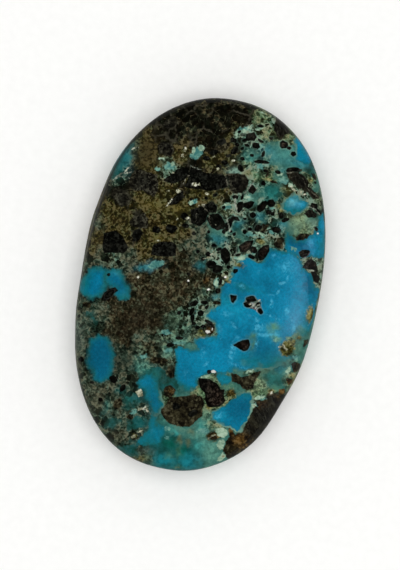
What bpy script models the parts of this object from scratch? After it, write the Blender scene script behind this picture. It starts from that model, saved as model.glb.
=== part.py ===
"""A polished turquoise stone in its host rock, ground to a long oval with a low dome.

The stone lies on its flat sawn back. The origin is the middle of that back, +Z points up
through the dome and +Y runs along the length. Everything is one solid, as the real stone is.
"""

import math

import bmesh
import bpy
from mathutils import Matrix, Vector

MM = 0.001

# Driving dimensions
LENGTH = 52.6 * MM
WIDTH = 33.5 * MM
THICKNESS = 7.2 * MM
OUTLINE_POWER = 2.28  # 2 is a plain ellipse, more is fuller at the corners

# Heights up the side, from the back to the edge of the dome
BACK_CHAMFER_HEIGHT = 0.6 * MM
GIRDLE_TOP = 1.7 * MM
WALL_TOP = 4.5 * MM
DOME_EDGE_HEIGHT = 5.3 * MM
DOME_POWER = 2.6  # a flat middle that falls away towards the edge

# How far each level stands in from the girdle
BACK_CHAMFER = 0.5 * MM
WALL_LEAN = 0.25 * MM
EDGE_BEVEL = 0.6 * MM  # from the top of the wall to the edge of the dome
BEVEL_CROWN = 0.08 * MM  # how far the bevel bulges between its two edges

# Hand grinding, each as degrees round from +X, change, spread in degrees.
# Over the outline, a minus is a place that was ground away
RIM_GRINDING = (
    (135.0, 0.28 * MM, 12.0),
    (160.0, 0.12 * MM, 9.0),
    (190.0, -0.18 * MM, 14.0),
    (212.0, -0.12 * MM, 9.0),
    (287.0, -0.22 * MM, 9.0),
    (315.0, -0.38 * MM, 11.0),
    (73.0, -0.14 * MM, 9.0),
    (106.0, -0.14 * MM, 9.0),
)
# The bevel reaches further in where a hand held the stone to the wheel for longer.
# The first two make the wide flat at the right
BEVEL_GRINDING = (
    (19.0, 1.45 * MM, 7.0),
    (8.0, 0.75 * MM, 8.0),
    (308.0, 0.35 * MM, 17.0),
    (142.0, 0.25 * MM, 20.0),
    (238.0, 0.20 * MM, 15.0),
)
# The wall leans in most at the upper left
WALL_GRINDING = ((158.0, 0.28 * MM, 24.0), (80.0, 0.10 * MM, 20.0), (225.0, 0.08 * MM, 18.0))

# Open pits in the polished face: place, half length, half width, depth, turn in degrees
PITS = {
    "crescent": (-12.0, -3.8, 0.95, 0.42, 0.6, 50.0),
    "crystal_hollow": (2.45, -5.75, 0.95, 0.85, 0.7, 20.0),
    "bright_chip": (4.15, -11.6, 0.62, 0.42, 0.45, 15.0),
    "ochre_hollow": (13.5, -6.5, 1.05, 0.75, 0.6, -35.0),
    "pale_facet": (-5.1, -16.7, 0.6, 0.55, 0.3, 25.0),
    "twin_chips": (-4.15, -18.7, 0.8, 0.4, 0.35, -30.0),
    "low_chips": (-4.6, -22.5, 0.85, 0.4, 0.35, 40.0),
    "ring_hollow": (-3.3, -7.55, 0.4, 0.38, 0.3, 0.0),
    "right_glint": (14.75, 10.25, 0.45, 0.4, 0.3, 0.0),
    "ochre_nest": (5.9, -20.7, 0.85, 0.45, 0.4, 35.0),
}

# Mesh density
SEGMENTS = 120
DOME_RINGS = 16
BEVEL_RINGS = 3
WALL_RINGS = 3
BACK_RINGS = 4

TURQUOISE = (0.020, 0.155, 0.210, 1.0)


def clear_scene():
    for obj in list(bpy.data.objects):
        bpy.data.objects.remove(obj)


def new_collection(name):
    collection = bpy.data.collections.new(name)
    bpy.context.scene.collection.children.link(collection)
    return collection


def stone_material():
    material = bpy.data.materials.new("polished_turquoise")
    material.use_nodes = True
    shader = material.node_tree.nodes["Principled BSDF"]
    shader.inputs["Base Color"].default_value = TURQUOISE
    shader.inputs["Roughness"].default_value = 0.25
    shader.inputs["Metallic"].default_value = 0.0
    return material


def ground(azimuth, grinding):
    """How much the grinding changes a size in one direction."""
    change = 0.0
    for place, depth, spread in grinding:
        away = (math.degrees(azimuth) - place + 180) % 360 - 180
        change += depth * math.exp(-((away / spread) ** 2))
    return change


def girdle_radius(azimuth):
    """Distance from the axis to the widest line of the stone, in one direction."""
    across = abs(math.cos(azimuth)) / (WIDTH / 2)
    along = abs(math.sin(azimuth)) / (LENGTH / 2)
    oval = (across**OUTLINE_POWER + along**OUTLINE_POWER) ** (-1 / OUTLINE_POWER)
    return oval + ground(azimuth, RIM_GRINDING)


def wall_inset(azimuth):
    return WALL_LEAN + ground(azimuth, WALL_GRINDING)


def dome_radius(azimuth):
    """How far the dome would reach with a bevel of even width."""
    return girdle_radius(azimuth) - wall_inset(azimuth) - EDGE_BEVEL


def crease_radius(azimuth):
    """Where the dome ends and the bevel starts."""
    return dome_radius(azimuth) - ground(azimuth, BEVEL_GRINDING)


def outline_centre():
    """Middle of the outline's box, which the grinding moves off the axis a little."""
    points = []
    for step in range(720):
        azimuth = math.radians(step / 2)
        radius = girdle_radius(azimuth)
        points.append((radius * math.cos(azimuth), radius * math.sin(azimuth)))
    across, along = zip(*points)
    return Vector(((min(across) + max(across)) / 2, (min(along) + max(along)) / 2, 0))


def dome_height(share):
    """Height of the dome at a share of the way from its middle to its edge."""
    return DOME_EDGE_HEIGHT + (THICKNESS - DOME_EDGE_HEIGHT) * (1 - share**DOME_POWER)


def section(azimuth):
    """The stone's section in one direction, from the crown to the middle of the back."""
    girdle = girdle_radius(azimuth)
    wall = girdle - wall_inset(azimuth)
    dome = dome_radius(azimuth)
    crease = crease_radius(azimuth)
    crease_height = dome_height(crease / dome)
    points = []
    for k in range(DOME_RINGS + 1):
        radius = crease * k / DOME_RINGS
        points.append((radius, dome_height(radius / dome)))
    for k in range(1, BEVEL_RINGS + 1):
        share = k / BEVEL_RINGS
        crown = BEVEL_CROWN * math.sin(math.pi * share)
        radius = crease + (wall - crease) * share + crown
        points.append((radius, crease_height + (WALL_TOP - crease_height) * share + crown))
    for k in range(1, WALL_RINGS + 1):
        share = k / WALL_RINGS
        points.append((wall + (girdle - wall) * share, WALL_TOP + (GIRDLE_TOP - WALL_TOP) * share))
    points.append((girdle, BACK_CHAMFER_HEIGHT))
    for k in range(BACK_RINGS, -1, -1):
        points.append(((girdle - BACK_CHAMFER) * k / BACK_RINGS, 0.0))
    return points


def shape_stone(centre, collection, material):
    """A sphere whose meridians are moved to the stone's sections."""
    last = len(section(0.0)) - 1
    mesh = bpy.data.meshes.new("turquoise_stone")
    bm = bmesh.new()
    bmesh.ops.create_uvsphere(bm, u_segments=SEGMENTS, v_segments=last, radius=1.0)
    for vertex in bm.verts:
        azimuth = math.atan2(vertex.co.y, vertex.co.x)
        polar = math.acos(max(-1.0, min(1.0, vertex.co.z)))
        radius, height = section(azimuth)[round(polar / math.pi * last)]
        vertex.co = (radius * math.cos(azimuth), radius * math.sin(azimuth), height)
    bmesh.ops.translate(bm, verts=bm.verts, vec=-centre)
    bmesh.ops.recalc_face_normals(bm, faces=bm.faces)
    bm.to_mesh(mesh)
    bm.free()
    mesh.materials.append(material)
    stone = bpy.data.objects.new("turquoise_stone", mesh)
    collection.objects.link(stone)
    return stone


def surface_point(x, y, centre):
    """The place on the dome over a point of the back."""
    from_axis = Vector((x * MM, y * MM, 0)) + centre
    share = from_axis.length / dome_radius(math.atan2(from_axis.y, from_axis.x))
    return Vector((x * MM, y * MM, dome_height(min(1.0, share))))


def new_cutter(name, bm, matrix, collection):
    mesh = bpy.data.meshes.new(name)
    bm.to_mesh(mesh)
    bm.free()
    mesh.transform(matrix)
    cutter = bpy.data.objects.new(name, mesh)
    cutter.hide_render = True
    cutter.display_type = "WIRE"
    collection.objects.link(cutter)
    return cutter


def pit_cutter(name, x, y, half_length, half_width, depth, turn, centre, collection):
    """A small egg, half sunk in the polished face."""
    bm = bmesh.new()
    bmesh.ops.create_icosphere(bm, subdivisions=2, radius=1.0)
    sides = Matrix.Diagonal((half_length * MM, half_width * MM, depth * MM, 1))
    heading = Matrix.Rotation(math.radians(turn), 4, "Z")
    place = Matrix.Translation(surface_point(x, y, centre))
    return new_cutter(name, bm, place @ heading @ sides, collection)


def cut(stone, cutter):
    boolean = stone.modifiers.new(cutter.name, "BOOLEAN")
    boolean.operation = "DIFFERENCE"
    boolean.solver = "EXACT"
    boolean.object = cutter


def shade(stone):
    stone.data.shade_smooth()
    stone.data.set_sharp_from_angle(angle=math.radians(25))


def main():
    clear_scene()
    parts = new_collection("polished_turquoise_stone")
    cutters = new_collection("cutters")
    centre = outline_centre()
    stone = shape_stone(centre, parts, stone_material())
    shade(stone)
    for name, sizes in PITS.items():
        cut(stone, pit_cutter(f"{name}_pit", *sizes, centre, cutters))


main()
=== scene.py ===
# Polished turquoise oval: the looks of the stone, its studio and its camera
import math
from functools import partial

import bmesh
import bpy
import numpy as np
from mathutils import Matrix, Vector, noise


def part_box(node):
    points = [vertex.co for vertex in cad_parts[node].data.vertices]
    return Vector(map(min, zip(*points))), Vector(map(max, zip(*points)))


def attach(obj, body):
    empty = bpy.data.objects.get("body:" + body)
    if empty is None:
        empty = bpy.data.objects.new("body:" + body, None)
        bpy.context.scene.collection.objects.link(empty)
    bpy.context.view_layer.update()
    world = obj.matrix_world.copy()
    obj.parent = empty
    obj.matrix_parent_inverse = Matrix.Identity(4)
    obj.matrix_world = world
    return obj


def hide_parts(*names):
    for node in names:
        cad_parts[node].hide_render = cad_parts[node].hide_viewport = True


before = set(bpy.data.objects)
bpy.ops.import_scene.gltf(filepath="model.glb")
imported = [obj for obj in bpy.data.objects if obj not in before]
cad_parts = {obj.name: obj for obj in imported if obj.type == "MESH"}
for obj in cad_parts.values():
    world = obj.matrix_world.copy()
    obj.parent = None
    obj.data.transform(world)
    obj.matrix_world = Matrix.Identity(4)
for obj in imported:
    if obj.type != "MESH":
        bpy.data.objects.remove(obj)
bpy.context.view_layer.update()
mm = 0.001
photoWidth, photoHeight = 400, 570
photoCentre = (200.0, 284.5)  # middle of the stone in the photograph, in pixels
markOrigin = (199.4, 284.0)  # pixel that the places of its markings were measured from
pixelSize = 0.14  # mm of stone that one pixel shows
cameraPlace = {
    "height": 350,  # mm over the widest line of the stone
    "lean": 11.5,  # degrees that the stone's length leans to the right in the picture
}
noiseSeed = 3  # chooses where the edges of the rock wander
noise.seed_set(noiseSeed)


# Shared helpers

def linear(hexColour):
    # sRGB hex to the linear colour that shaders work in
    channels = [int(hexColour[k : k + 2], 16) / 255 for k in (0, 2, 4)]
    return [c / 12.92 if c <= 0.04045 else ((c + 0.055) / 1.055) ** 2.4 for c in channels] + [1.0]


def addNode(tree, kind, links=(), stops=(), **settings):
    # links fill the sockets, in order or by name, with values or other nodes' outputs; settings are the
    # node's own options, and stops are the places and colours of a ramp
    node = tree.nodes.new("ShaderNode" + kind)
    for name, value in settings.items():
        setattr(node, name, value)
    for socket, value in links.items() if isinstance(links, dict) else enumerate(links):
        if isinstance(value, bpy.types.NodeSocket):
            tree.links.new(value, node.inputs[socket])
        else:
            node.inputs[socket].default_value = value
    while len(stops) > 2 and len(node.color_ramp.elements) < len(stops):
        node.color_ramp.elements.new(0.5)
    for k, (position, colour) in enumerate(stops):
        node.color_ramp.elements[k].position = position
        node.color_ramp.elements[k].color = colour
    return node.outputs


def stopsOf(positions, colours):
    # a ramp's places with its colours, which are written from dark to pale in one line
    return list(zip(positions, map(linear, colours.split())))


def smoothStep(value, low, high):
    t = np.clip((value - low) / (high - low), 0, 1)
    return t * t * (3 - 2 * t)


def onStone(pixel):
    # where a pixel of the photo lies on the stone, in mm from its middle
    turn = math.radians(cameraPlace["lean"])
    right, up = (pixel[0] - photoCentre[0]) * pixelSize, (photoCentre[1] - pixel[1]) * pixelSize
    return right * math.cos(turn) - up * math.sin(turn), right * math.sin(turn) + up * math.cos(turn)


def noiseVectors(points, grain):
    # one smooth random vector for each point; grain is the size of its waves in mm
    return np.array([noise.noise_vector(Vector(p) / grain) for p in points])


# The shape, in mm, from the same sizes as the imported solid

form = {
    "length": 52.6,
    "width": 33.5,
    "thickness": 7.2,
    "outlinePower": 2.28,
    "domePower": 2.6,
    "domeEdgeHeight": 5.3,
    "wallTop": 4.5,
    "girdleTop": 1.7,
    "backChamferHeight": 0.6,
    "backChamfer": 0.5,
    "wallLean": 0.25,
    "edgeBevel": 0.6,
    "bevelCrown": 0.08,
    "veinSlant": (0.30, -0.22),  # mm that a vein moves sideways for each mm down
    # hand grinding: degrees round from +X, change, spread in degrees
    "rimGrinding": ((135, 0.28, 12), (160, 0.12, 9), (190, -0.18, 14), (212, -0.12, 9),
                    (287, -0.22, 9), (315, -0.38, 11), (73, -0.14, 9), (106, -0.14, 9)),
    "bevelGrinding": ((19, 1.45, 7), (8, 0.75, 8), (308, 0.35, 17), (142, 0.25, 20), (238, 0.20, 15)),
    "wallGrinding": ((158, 0.28, 24), (80, 0.10, 20), (225, 0.08, 18)),
    # mesh: steps across and along the face, rings down the side, how much coarser the back is
    "acrossSteps": 204,
    "alongSteps": 324,
    "bevelRings": 8,
    "wallRings": 9,
    "chamferRings": 3,
    "backCoarseness": 4,
    "backStrip": 1.2,  # mm between the rim of the back and its coarse grid
}


def ground(azimuth, grinding):
    change = np.zeros_like(azimuth)
    for place, depth, spread in grinding:
        away = (np.degrees(azimuth) - place + 180) % 360 - 180
        change += depth * np.exp(-((away / spread) ** 2))
    return change


def girdleRadius(azimuth):
    across = np.abs(np.cos(azimuth)) / (form["width"] / 2)
    along = np.abs(np.sin(azimuth)) / (form["length"] / 2)
    power = form["outlinePower"]
    return (across**power + along**power) ** (-1 / power) + ground(azimuth, form["rimGrinding"])


def wallInset(azimuth):
    return form["wallLean"] + ground(azimuth, form["wallGrinding"])


def domeRadius(azimuth):
    # how far the dome would reach with a bevel of even width
    return girdleRadius(azimuth) - wallInset(azimuth) - form["edgeBevel"]


def creaseRadius(azimuth):
    return domeRadius(azimuth) - ground(azimuth, form["bevelGrinding"])


def domeHeight(share):
    rise = form["thickness"] - form["domeEdgeHeight"]
    return form["domeEdgeHeight"] + rise * (1 - share ** form["domePower"])


def squareToDisc(u, v):
    # a square grid bent to a disc, so that the face has even steps and no pinched middle
    x = u * np.sqrt(1 - v * v / 2)
    y = v * np.sqrt(1 - u * u / 2)
    share = np.hypot(x, y)
    azimuth = np.arctan2(y * form["length"], x * form["width"])
    return np.minimum(share, 1), azimuth


def gridPoints(bm, across, along):
    made = bmesh.ops.create_grid(bm, x_segments=across, y_segments=along, size=1)["verts"]
    flat = np.array([v.co[:2] for v in made])
    return made, *squareToDisc(np.clip(flat[:, 0], -1, 1), np.clip(flat[:, 1], -1, 1))


def place(verts, radius, azimuth, height):
    for vert, r, a, h in zip(verts, radius, azimuth, height):
        vert.co = (r * math.cos(a), r * math.sin(a), h)


def sideSection(azimuth):
    # radius and height of each ring below the dome's edge, down to the rim of the back
    girdle = girdleRadius(azimuth)
    wall = girdle - wallInset(azimuth)
    crease = creaseRadius(azimuth)
    creaseHeight = domeHeight(crease / domeRadius(azimuth))
    rings = []
    for k in range(1, form["bevelRings"] + 1):
        share = k / form["bevelRings"]
        crown = form["bevelCrown"] * math.sin(math.pi * share)
        drop = (creaseHeight - form["wallTop"]) * share
        rings.append((crease + (wall - crease) * share + crown, creaseHeight - drop + crown))
    for k in range(1, form["wallRings"] + 1):
        share = k / form["wallRings"]
        drop = (form["wallTop"] - form["girdleTop"]) * share
        rings.append((wall + (girdle - wall) * share, form["wallTop"] - drop))
    for k in range(form["chamferRings"]):
        share = k / (form["chamferRings"] - 1)
        lift = form["backChamferHeight"] * (1 - share)
        rings.append((girdle - form["backChamfer"] * share, lift))
    return rings


def joinLoops(bm, outer, inner):
    # a strip of triangles between two loops that have different numbers of points
    def around(verts):
        ordered = sorted(verts, key=lambda v: math.atan2(v.co.y, v.co.x))
        return ordered, [math.atan2(v.co.y, v.co.x) for v in ordered] + [math.inf]

    (outer, outerTurns), (inner, innerTurns) = around(outer), around(inner)
    i = k = 0
    while i < len(outer) or k < len(inner):
        here, there = outer[i % len(outer)], inner[k % len(inner)]
        if outerTurns[i] <= innerTurns[k]:
            i += 1
            bm.faces.new((here, there, outer[i % len(outer)]))
        else:
            k += 1
            bm.faces.new((here, there, inner[k % len(inner)]))


def buildStone():
    bm = bmesh.new()
    face, share, azimuth = gridPoints(bm, form["acrossSteps"], form["alongSteps"])
    faceCount = len(bm.faces)
    radius = share * creaseRadius(azimuth)
    place(face, radius, azimuth, domeHeight(radius / domeRadius(azimuth)))
    rim = [e for e in bm.edges if e.is_boundary]
    ringCount = len(sideSection(np.zeros(1)))
    for k in range(ringCount):
        made = bmesh.ops.extrude_edge_only(bm, edges=rim)["geom"]
        verts = [g for g in made if isinstance(g, bmesh.types.BMVert)]
        rim = [g for g in made if isinstance(g, bmesh.types.BMEdge) and g.is_boundary]
        turn = np.array([math.atan2(v.co.y, v.co.x) for v in verts])
        radius, height = sideSection(turn)[k]
        place(verts, radius, turn, np.broadcast_to(height, radius.shape))
    coarse = form["backCoarseness"]
    back, share, azimuth = gridPoints(bm, form["acrossSteps"] // coarse, form["alongSteps"] // coarse)
    backRim = girdleRadius(azimuth) - form["backChamfer"]
    inner = 1 - form["backStrip"] / (form["width"] / 2)
    place(back, share * inner * backRim, azimuth, np.zeros(len(back)))
    rimVerts = {v for e in rim for v in e.verts}
    joinLoops(bm, rimVerts, {v for v in back if v.is_boundary})
    bmesh.ops.recalc_face_normals(bm, faces=bm.faces)
    bm.faces.ensure_lookup_table()
    for side in bm.faces[faceCount:]:
        side.material_index = 1
    mesh = bpy.data.meshes.new("turquoiseStone")
    bm.to_mesh(mesh)
    bm.free()
    return mesh


# What the rock is made of, read off the face in mm: +x right, +y up the length.
# A patch is a list of corners or an oval: x, y, length, width, and its turn in degrees if there is one.
# A broken piece is written as an oval too, and gets its corners from brokenPiece.

turquoise = {
    "warp": (0.42, 0.20),  # how far its edges wander, coarse and fine, in mm
    "shrink": 0.35,  # how much smaller a patch is for each mm under the face
    "patches": [
        # the large pool, then the two that lead down from it
        [(5.2, 5), (4.3, 3.2), (4.1, 2.1), (3.3, 1), (3.1, -1), (3.5, -2.3), (2.2, -3.1), (1.5, -4.2),
         (2.4, -4.6), (3.5, -5.2), (3.4, -6.9), (1, -7.4), (0.9, -8.2), (1.5, -9.1), (0, -9.3),
         (-1.3, -8.9), (-1.8, -9.9), (-1.1, -11), (-1, -12.4), (-0.6, -13.6), (0.2, -14.6), (1.3, -15),
         (2.3, -14.3), (2.6, -13.2), (3.2, -12.3), (5, -11.9), (6.8, -11), (8.8, -10.5), (10.6, -9.8),
         (12.2, -9.7), (13.4, -8.8), (14.6, -7.7), (14.1, -6.3), (13.4, -5), (14.6, -3.8), (15.7, -4.3),
         (16.9, -3), (17.2, 0), (17.2, 2.8), (16.1, 2.9), (15, 4.6), (13.9, 5), (13.2, 6.2), (11.5, 7),
         (9, 6.9), (8.2, 5), (7.2, 4.8)],
        [(10.7, 9.6), (12, 9.1), (13, 9.4), (14.2, 9.9), (14.6, 10.9), (14.3, 12.2), (15.2, 13.6),
         (16.4, 11.5), (16.9, 9), (17.1, 6.7), (15.4, 6.8), (14.3, 6.6), (13.2, 6.3), (11, 6.8),
         (10.6, 7.2)],
        [(8.5, -13.7), (10.2, -13.2), (10.8, -14), (10.3, -15), (10.7, -16.2), (10.3, -17.5), (9.9, -18.9),
         (9.2, -19.4), (8.4, -18.9), (7, -18.6), (5.5, -18.4), (5.2, -17.5), (6, -16.9), (7.3, -15.5),
         (8, -14.8)],
        (6.1, -12.3, 2, 1.8),
        [(9.3, 13), (9.3, 13.8), (9.5, 14.6), (10.2, 15), (11.2, 14.8), (12.2, 14.8), (12.8, 14.2),
         (12.5, 13.2), (11.8, 12.6), (10.9, 12.2), (9.9, 12.4)],
        [(9.2, 22.6), (9.6, 23.6), (13, 20.8), (12.4, 19.6), (11.2, 19.4), (9.9, 19.8), (9.3, 20.9)],
        # the pools on the left, and the trail at the bottom
        [(-16.9, -4.6), (-16.7, -3), (-15.7, -1.6), (-15.1, -0.7), (-14.1, -0.5), (-13, -0.7),
         (-12.7, -1.9), (-12.5, -2.9), (-12.9, -4), (-13.3, -4.9), (-14.2, -5.3), (-15.2, -4.9)],
        [(-13.2, -1), (-12.3, -0.2), (-11.1, -0.3), (-10.6, -1.3), (-10, -1.9), (-9.2, -2.7), (-9.1, -3.7),
         (-9.6, -4.5), (-10.4, -4.5), (-11.2, -4), (-11.3, -3.2), (-12.2, -2.9), (-12.9, -2.4)],
        [(-12.3, -9.6), (-11.1, -9.9), (-10.2, -11), (-9.5, -12.4), (-9.2, -13.8), (-9.6, -15.5),
         (-10.8, -16.4), (-12, -16), (-12.6, -15), (-13.3, -13.8), (-13.6, -12.3), (-13.5, -10.7)],
        [(-6, -15), (-5.2, -14.2), (-4.2, -13.6), (-3.4, -14.2), (-2.8, -15.2), (-2.2, -16.2),
         (-1.8, -17.2), (-1.7, -18.4), (-2.1, -19.3), (-3, -19.2), (-3.2, -18.7), (-3.8, -17.9),
         (-4.5, -17.3), (-4.5, -16.1), (-5.4, -15.8)],
        [(-2.9, -19.2), (-2.2, -19.4), (-2, -20.2), (-1.1, -20.6), (-0.6, -21.5), (-0.6, -22.7),
         (-1.3, -23.4), (-2.3, -23.1), (-3.1, -23.8), (-3.9, -23.9), (-4.1, -23.1), (-3.4, -22.1),
         (-3, -21.2), (-3.1, -20.2)],
    ],
}

# soft stains inside the turquoise, by colour (those of the ground rock stand further down): x, y, length
# and width in mm, strength, and its turn in degrees if there is one. The lists that are called Places are
# written in the same way
poolWashes = {
    "sea": [
        (15.9, 9.4, 1.8, 4.4, 0.7), (6.6, 0.7, 4.6, 1, 0.5, -8), (4.2, -1.6, 1.6, 2.6, 0.4),
        (6, 0.6, 2.4, 1.2, 0.45, 15), (13.4, -8.4, 4, 3, 0.9), (9.2, -9, 5, 2.2, 0.6),
        (12, -9.4, 4, 1.6, 0.8), (-15.9, -2.4, 1.2, 3.6, 0.8), (-9.9, -4.1, 1.8, 1.4, 0.7),
        (1, -14.8, 2, 1.2, 0.7), (-12.8, -2, 0.9, 2.8, 0.7, -10), (6.1, -12.3, 2.6, 2.2, 0.6),
        (-2.6, -23.2, 4, 2.6, 0.6), (15.9, -1.4, 1.6, 5, 0.6), (-15.6, -3.4, 1.6, 3.4, 0.6),
        (9.6, -13.8, 2, 1.4, 0.5), (9.7, 13, 1.2, 1.8, 0.9), (11, 12.9, 2.6, 1.2, 0.6),
    ],
    "navy": [
        (-11.6, -12.9, 5, 8, 0.45, 8), (-14.4, -3, 3, 3.6, 0.35), (-10.6, -2.4, 3, 3, 0.4),
        (8.9, -15.6, 3.6, 4, 0.4), (-3.2, -17, 2.6, 5, 0.35, 15), (11.6, 8.8, 2.8, 2.4, 0.9),
        (13, 8.3, 2.2, 1.8, 0.8), (15.4, 2.6, 1.5, 5.4, 0.8, 24),
    ],
    "cyan": [
        (6.4, -17.7, 2.6, 1.6, 0.9, 20), (5.4, -2.6, 3.6, 3, 0.6), (2.4, -6.2, 2.6, 1.6, 0.4),
    ],
    "deep": [
        (11.2, -7.4, 3.6, 3.6, 0.8), (-11.6, -12.9, 7, 11, 1, 8), (-14.4, -3.2, 4, 4.6, 0.5),
        (-10.4, -2.6, 4, 4, 0.7), (0.4, -12.4, 3, 5, 0.5), (-2.8, -18.5, 6, 14, 0.7, 10),
        (8.8, -16, 6, 6, 0.7), (15.9, 9.5, 1.2, 6, 0.4, 6), (5.6, 1.9, 2.6, 3.2, 0.5),
        (9.6, 2, 3.6, 4, 0.35),
    ],
    "tide": [
        (-2.4, -21.6, 3.6, 4, 0.8), (-3.6, -16.4, 2.4, 5, 0.4, 15), (10.9, 21.4, 2.2, 3.4, 0.7, -20),
    ],
    "teal": [
        (-11.2, -0.8, 2.6, 1.6, 0.9), (-9.6, -3.8, 1.4, 1.8, 0.8), (-12.9, -2.2, 0.7, 2.8, 0.8, -10),
        (-14.4, -5, 2.6, 1, 0.8), (-14.6, -0.6, 2.4, 1, 0.8),
    ],
    "leaf": [
        (15.4, -3.6, 2, 1.6, 0.8), (14.8, -8, 1.6, 1.6, 0.7), (8.4, -9.6, 1.6, 0.8, 0.4),
        (11.5, -3.8, 2, 1.6, 0.5), (8.7, -5.7, 1.2, 1.4, 0.9, 15), (9.1, -7, 0.9, 1.8, 0.8),
    ],
    "dusk": [
        (10.7, -9.5, 0.9, 0.8, 0.7),
    ],
    "fernPale": [
        (11.4, -3.8, 1.1, 1.3, 0.95), (11.8, -5.1, 2.2, 1, 0.8, -40),
    ],
    "milk": [
        (12, -4.4, 2.2, 1.2, 0.4), (10.2, -4.3, 4, 1.6, 0.5, 5), (10.6, -5.2, 3.4, 0.6, 0.6, 8),
        (11.4, 4.8, 3.4, 3.2, 0.35), (12.9, -1.4, 1.4, 1.4, 0.35), (11.9, 14, 1.8, 2, 0.7),
        (6.4, -8.9, 1, 3.6, 0.35, 8), (2.8, -9.6, 2, 2.4, 0.25), (7.9, -3.4, 2.6, 1.4, 0.2),
    ],
    "lilac": [
        (14.2, -2.4, 2, 3, 0.35, 20), (12.6, 5.6, 3, 2, 0.3, -20), (14, 8.8, 1.4, 1.8, 0.8, 10),
        (14.7, 7.4, 1, 1.4, 0.3),
    ],
    "azure": [
        (12.4, 0.4, 5, 7, 0.6), (5.6, -9.6, 5, 4, 0.5),
    ],
    "froth": [
        (10.4, 14.2, 2.6, 1.9, 0.95, 10),
    ],
    "sky": [
        (-14.2, -2.8, 1.8, 2.2, 0.35), (9, -0.2, 5, 1.6, 0.25), (4.8, -3.2, 3, 1.6, 0.35),
        (12.4, -2.8, 3, 2, 0.3), (8.4, -10, 3, 1.4, 0.2), (15.6, 11.4, 1.4, 3, 0.5),
    ],
}
wispPlaces = [
    (11.4, 2.5, 1.5, 0.5, 1.3, 14), (11, 1.2, 0.4, 1.6, 1.2, -28), (5.9, -4.7, 1.3, 0.5, 1.3, -35),
    (12, 3.4, 0.4, 1.2, 0.8), (4.7, -6.9, 1, 0.5, 1, -20), (2.4, -9.4, 1, 2.2, 0.8, 15),
    (9.3, -4.3, 2.4, 1.4, 1.1, 20), (8.8, -3.4, 1.2, 1, 0.9, 30), (10.6, -5.1, 3.8, 0.5, 1.2, 8),
    (11.6, -4.9, 1.6, 0.8, 1, 20), (10.5, 14.5, 2, 1, 0.8), (14, 8.8, 1.4, 1.8, 0.6, 20),
    (11.6, 4.6, 3.4, 3.6, 0.6, 10), (9.4, -6.6, 0.7, 2.4, 1, 10), (6.3, -8.4, 0.8, 3.6, 1.1, 4),
    (7.4, -10.2, 2.4, 0.8, 0.8, -20), (12.8, -1.4, 0.8, 1.2, 1.1, 20), (10.4, -0.8, 0.6, 1.6, 1, 10),
    (11.2, -2.4, 2.6, 0.6, 1, -8), (13.6, -2.4, 0.6, 1.6, 0.9, 25), (3.1, -10.8, 0.8, 2, 0.7, -25),
    (9.6, 6, 2.6, 1.4, 0.5), (14.2, -3.6, 1.4, 1.6, 0.8, 20), (4.4, -3.4, 2.4, 1.2, 0.6),
    (8.6, -10.4, 3, 0.8, 0.7), (3.9, -5.6, 1.6, 2.2, 0.6), (12, 9.2, 1.6, 1.2, 0.4),
    (5.6, 0.9, 2.2, 0.7, 1, -12), (9.8, 0.4, 2, 0.5, 0.7), (7.6, 3.4, 2, 1.6, 0.3),
    (6.6, -6.4, 1.4, 1, 0.5), (7.8, -3, 2.4, 0.6, 0.5), (6.4, -17.6, 2, 1, 0.9, 30),
    (-2.4, -19.2, 0.8, 1.2, 0.7), (-2.6, -21.4, 1.4, 1.6, 0.4), (0.6, -12.8, 1.2, 2, 0.4),
]

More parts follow.
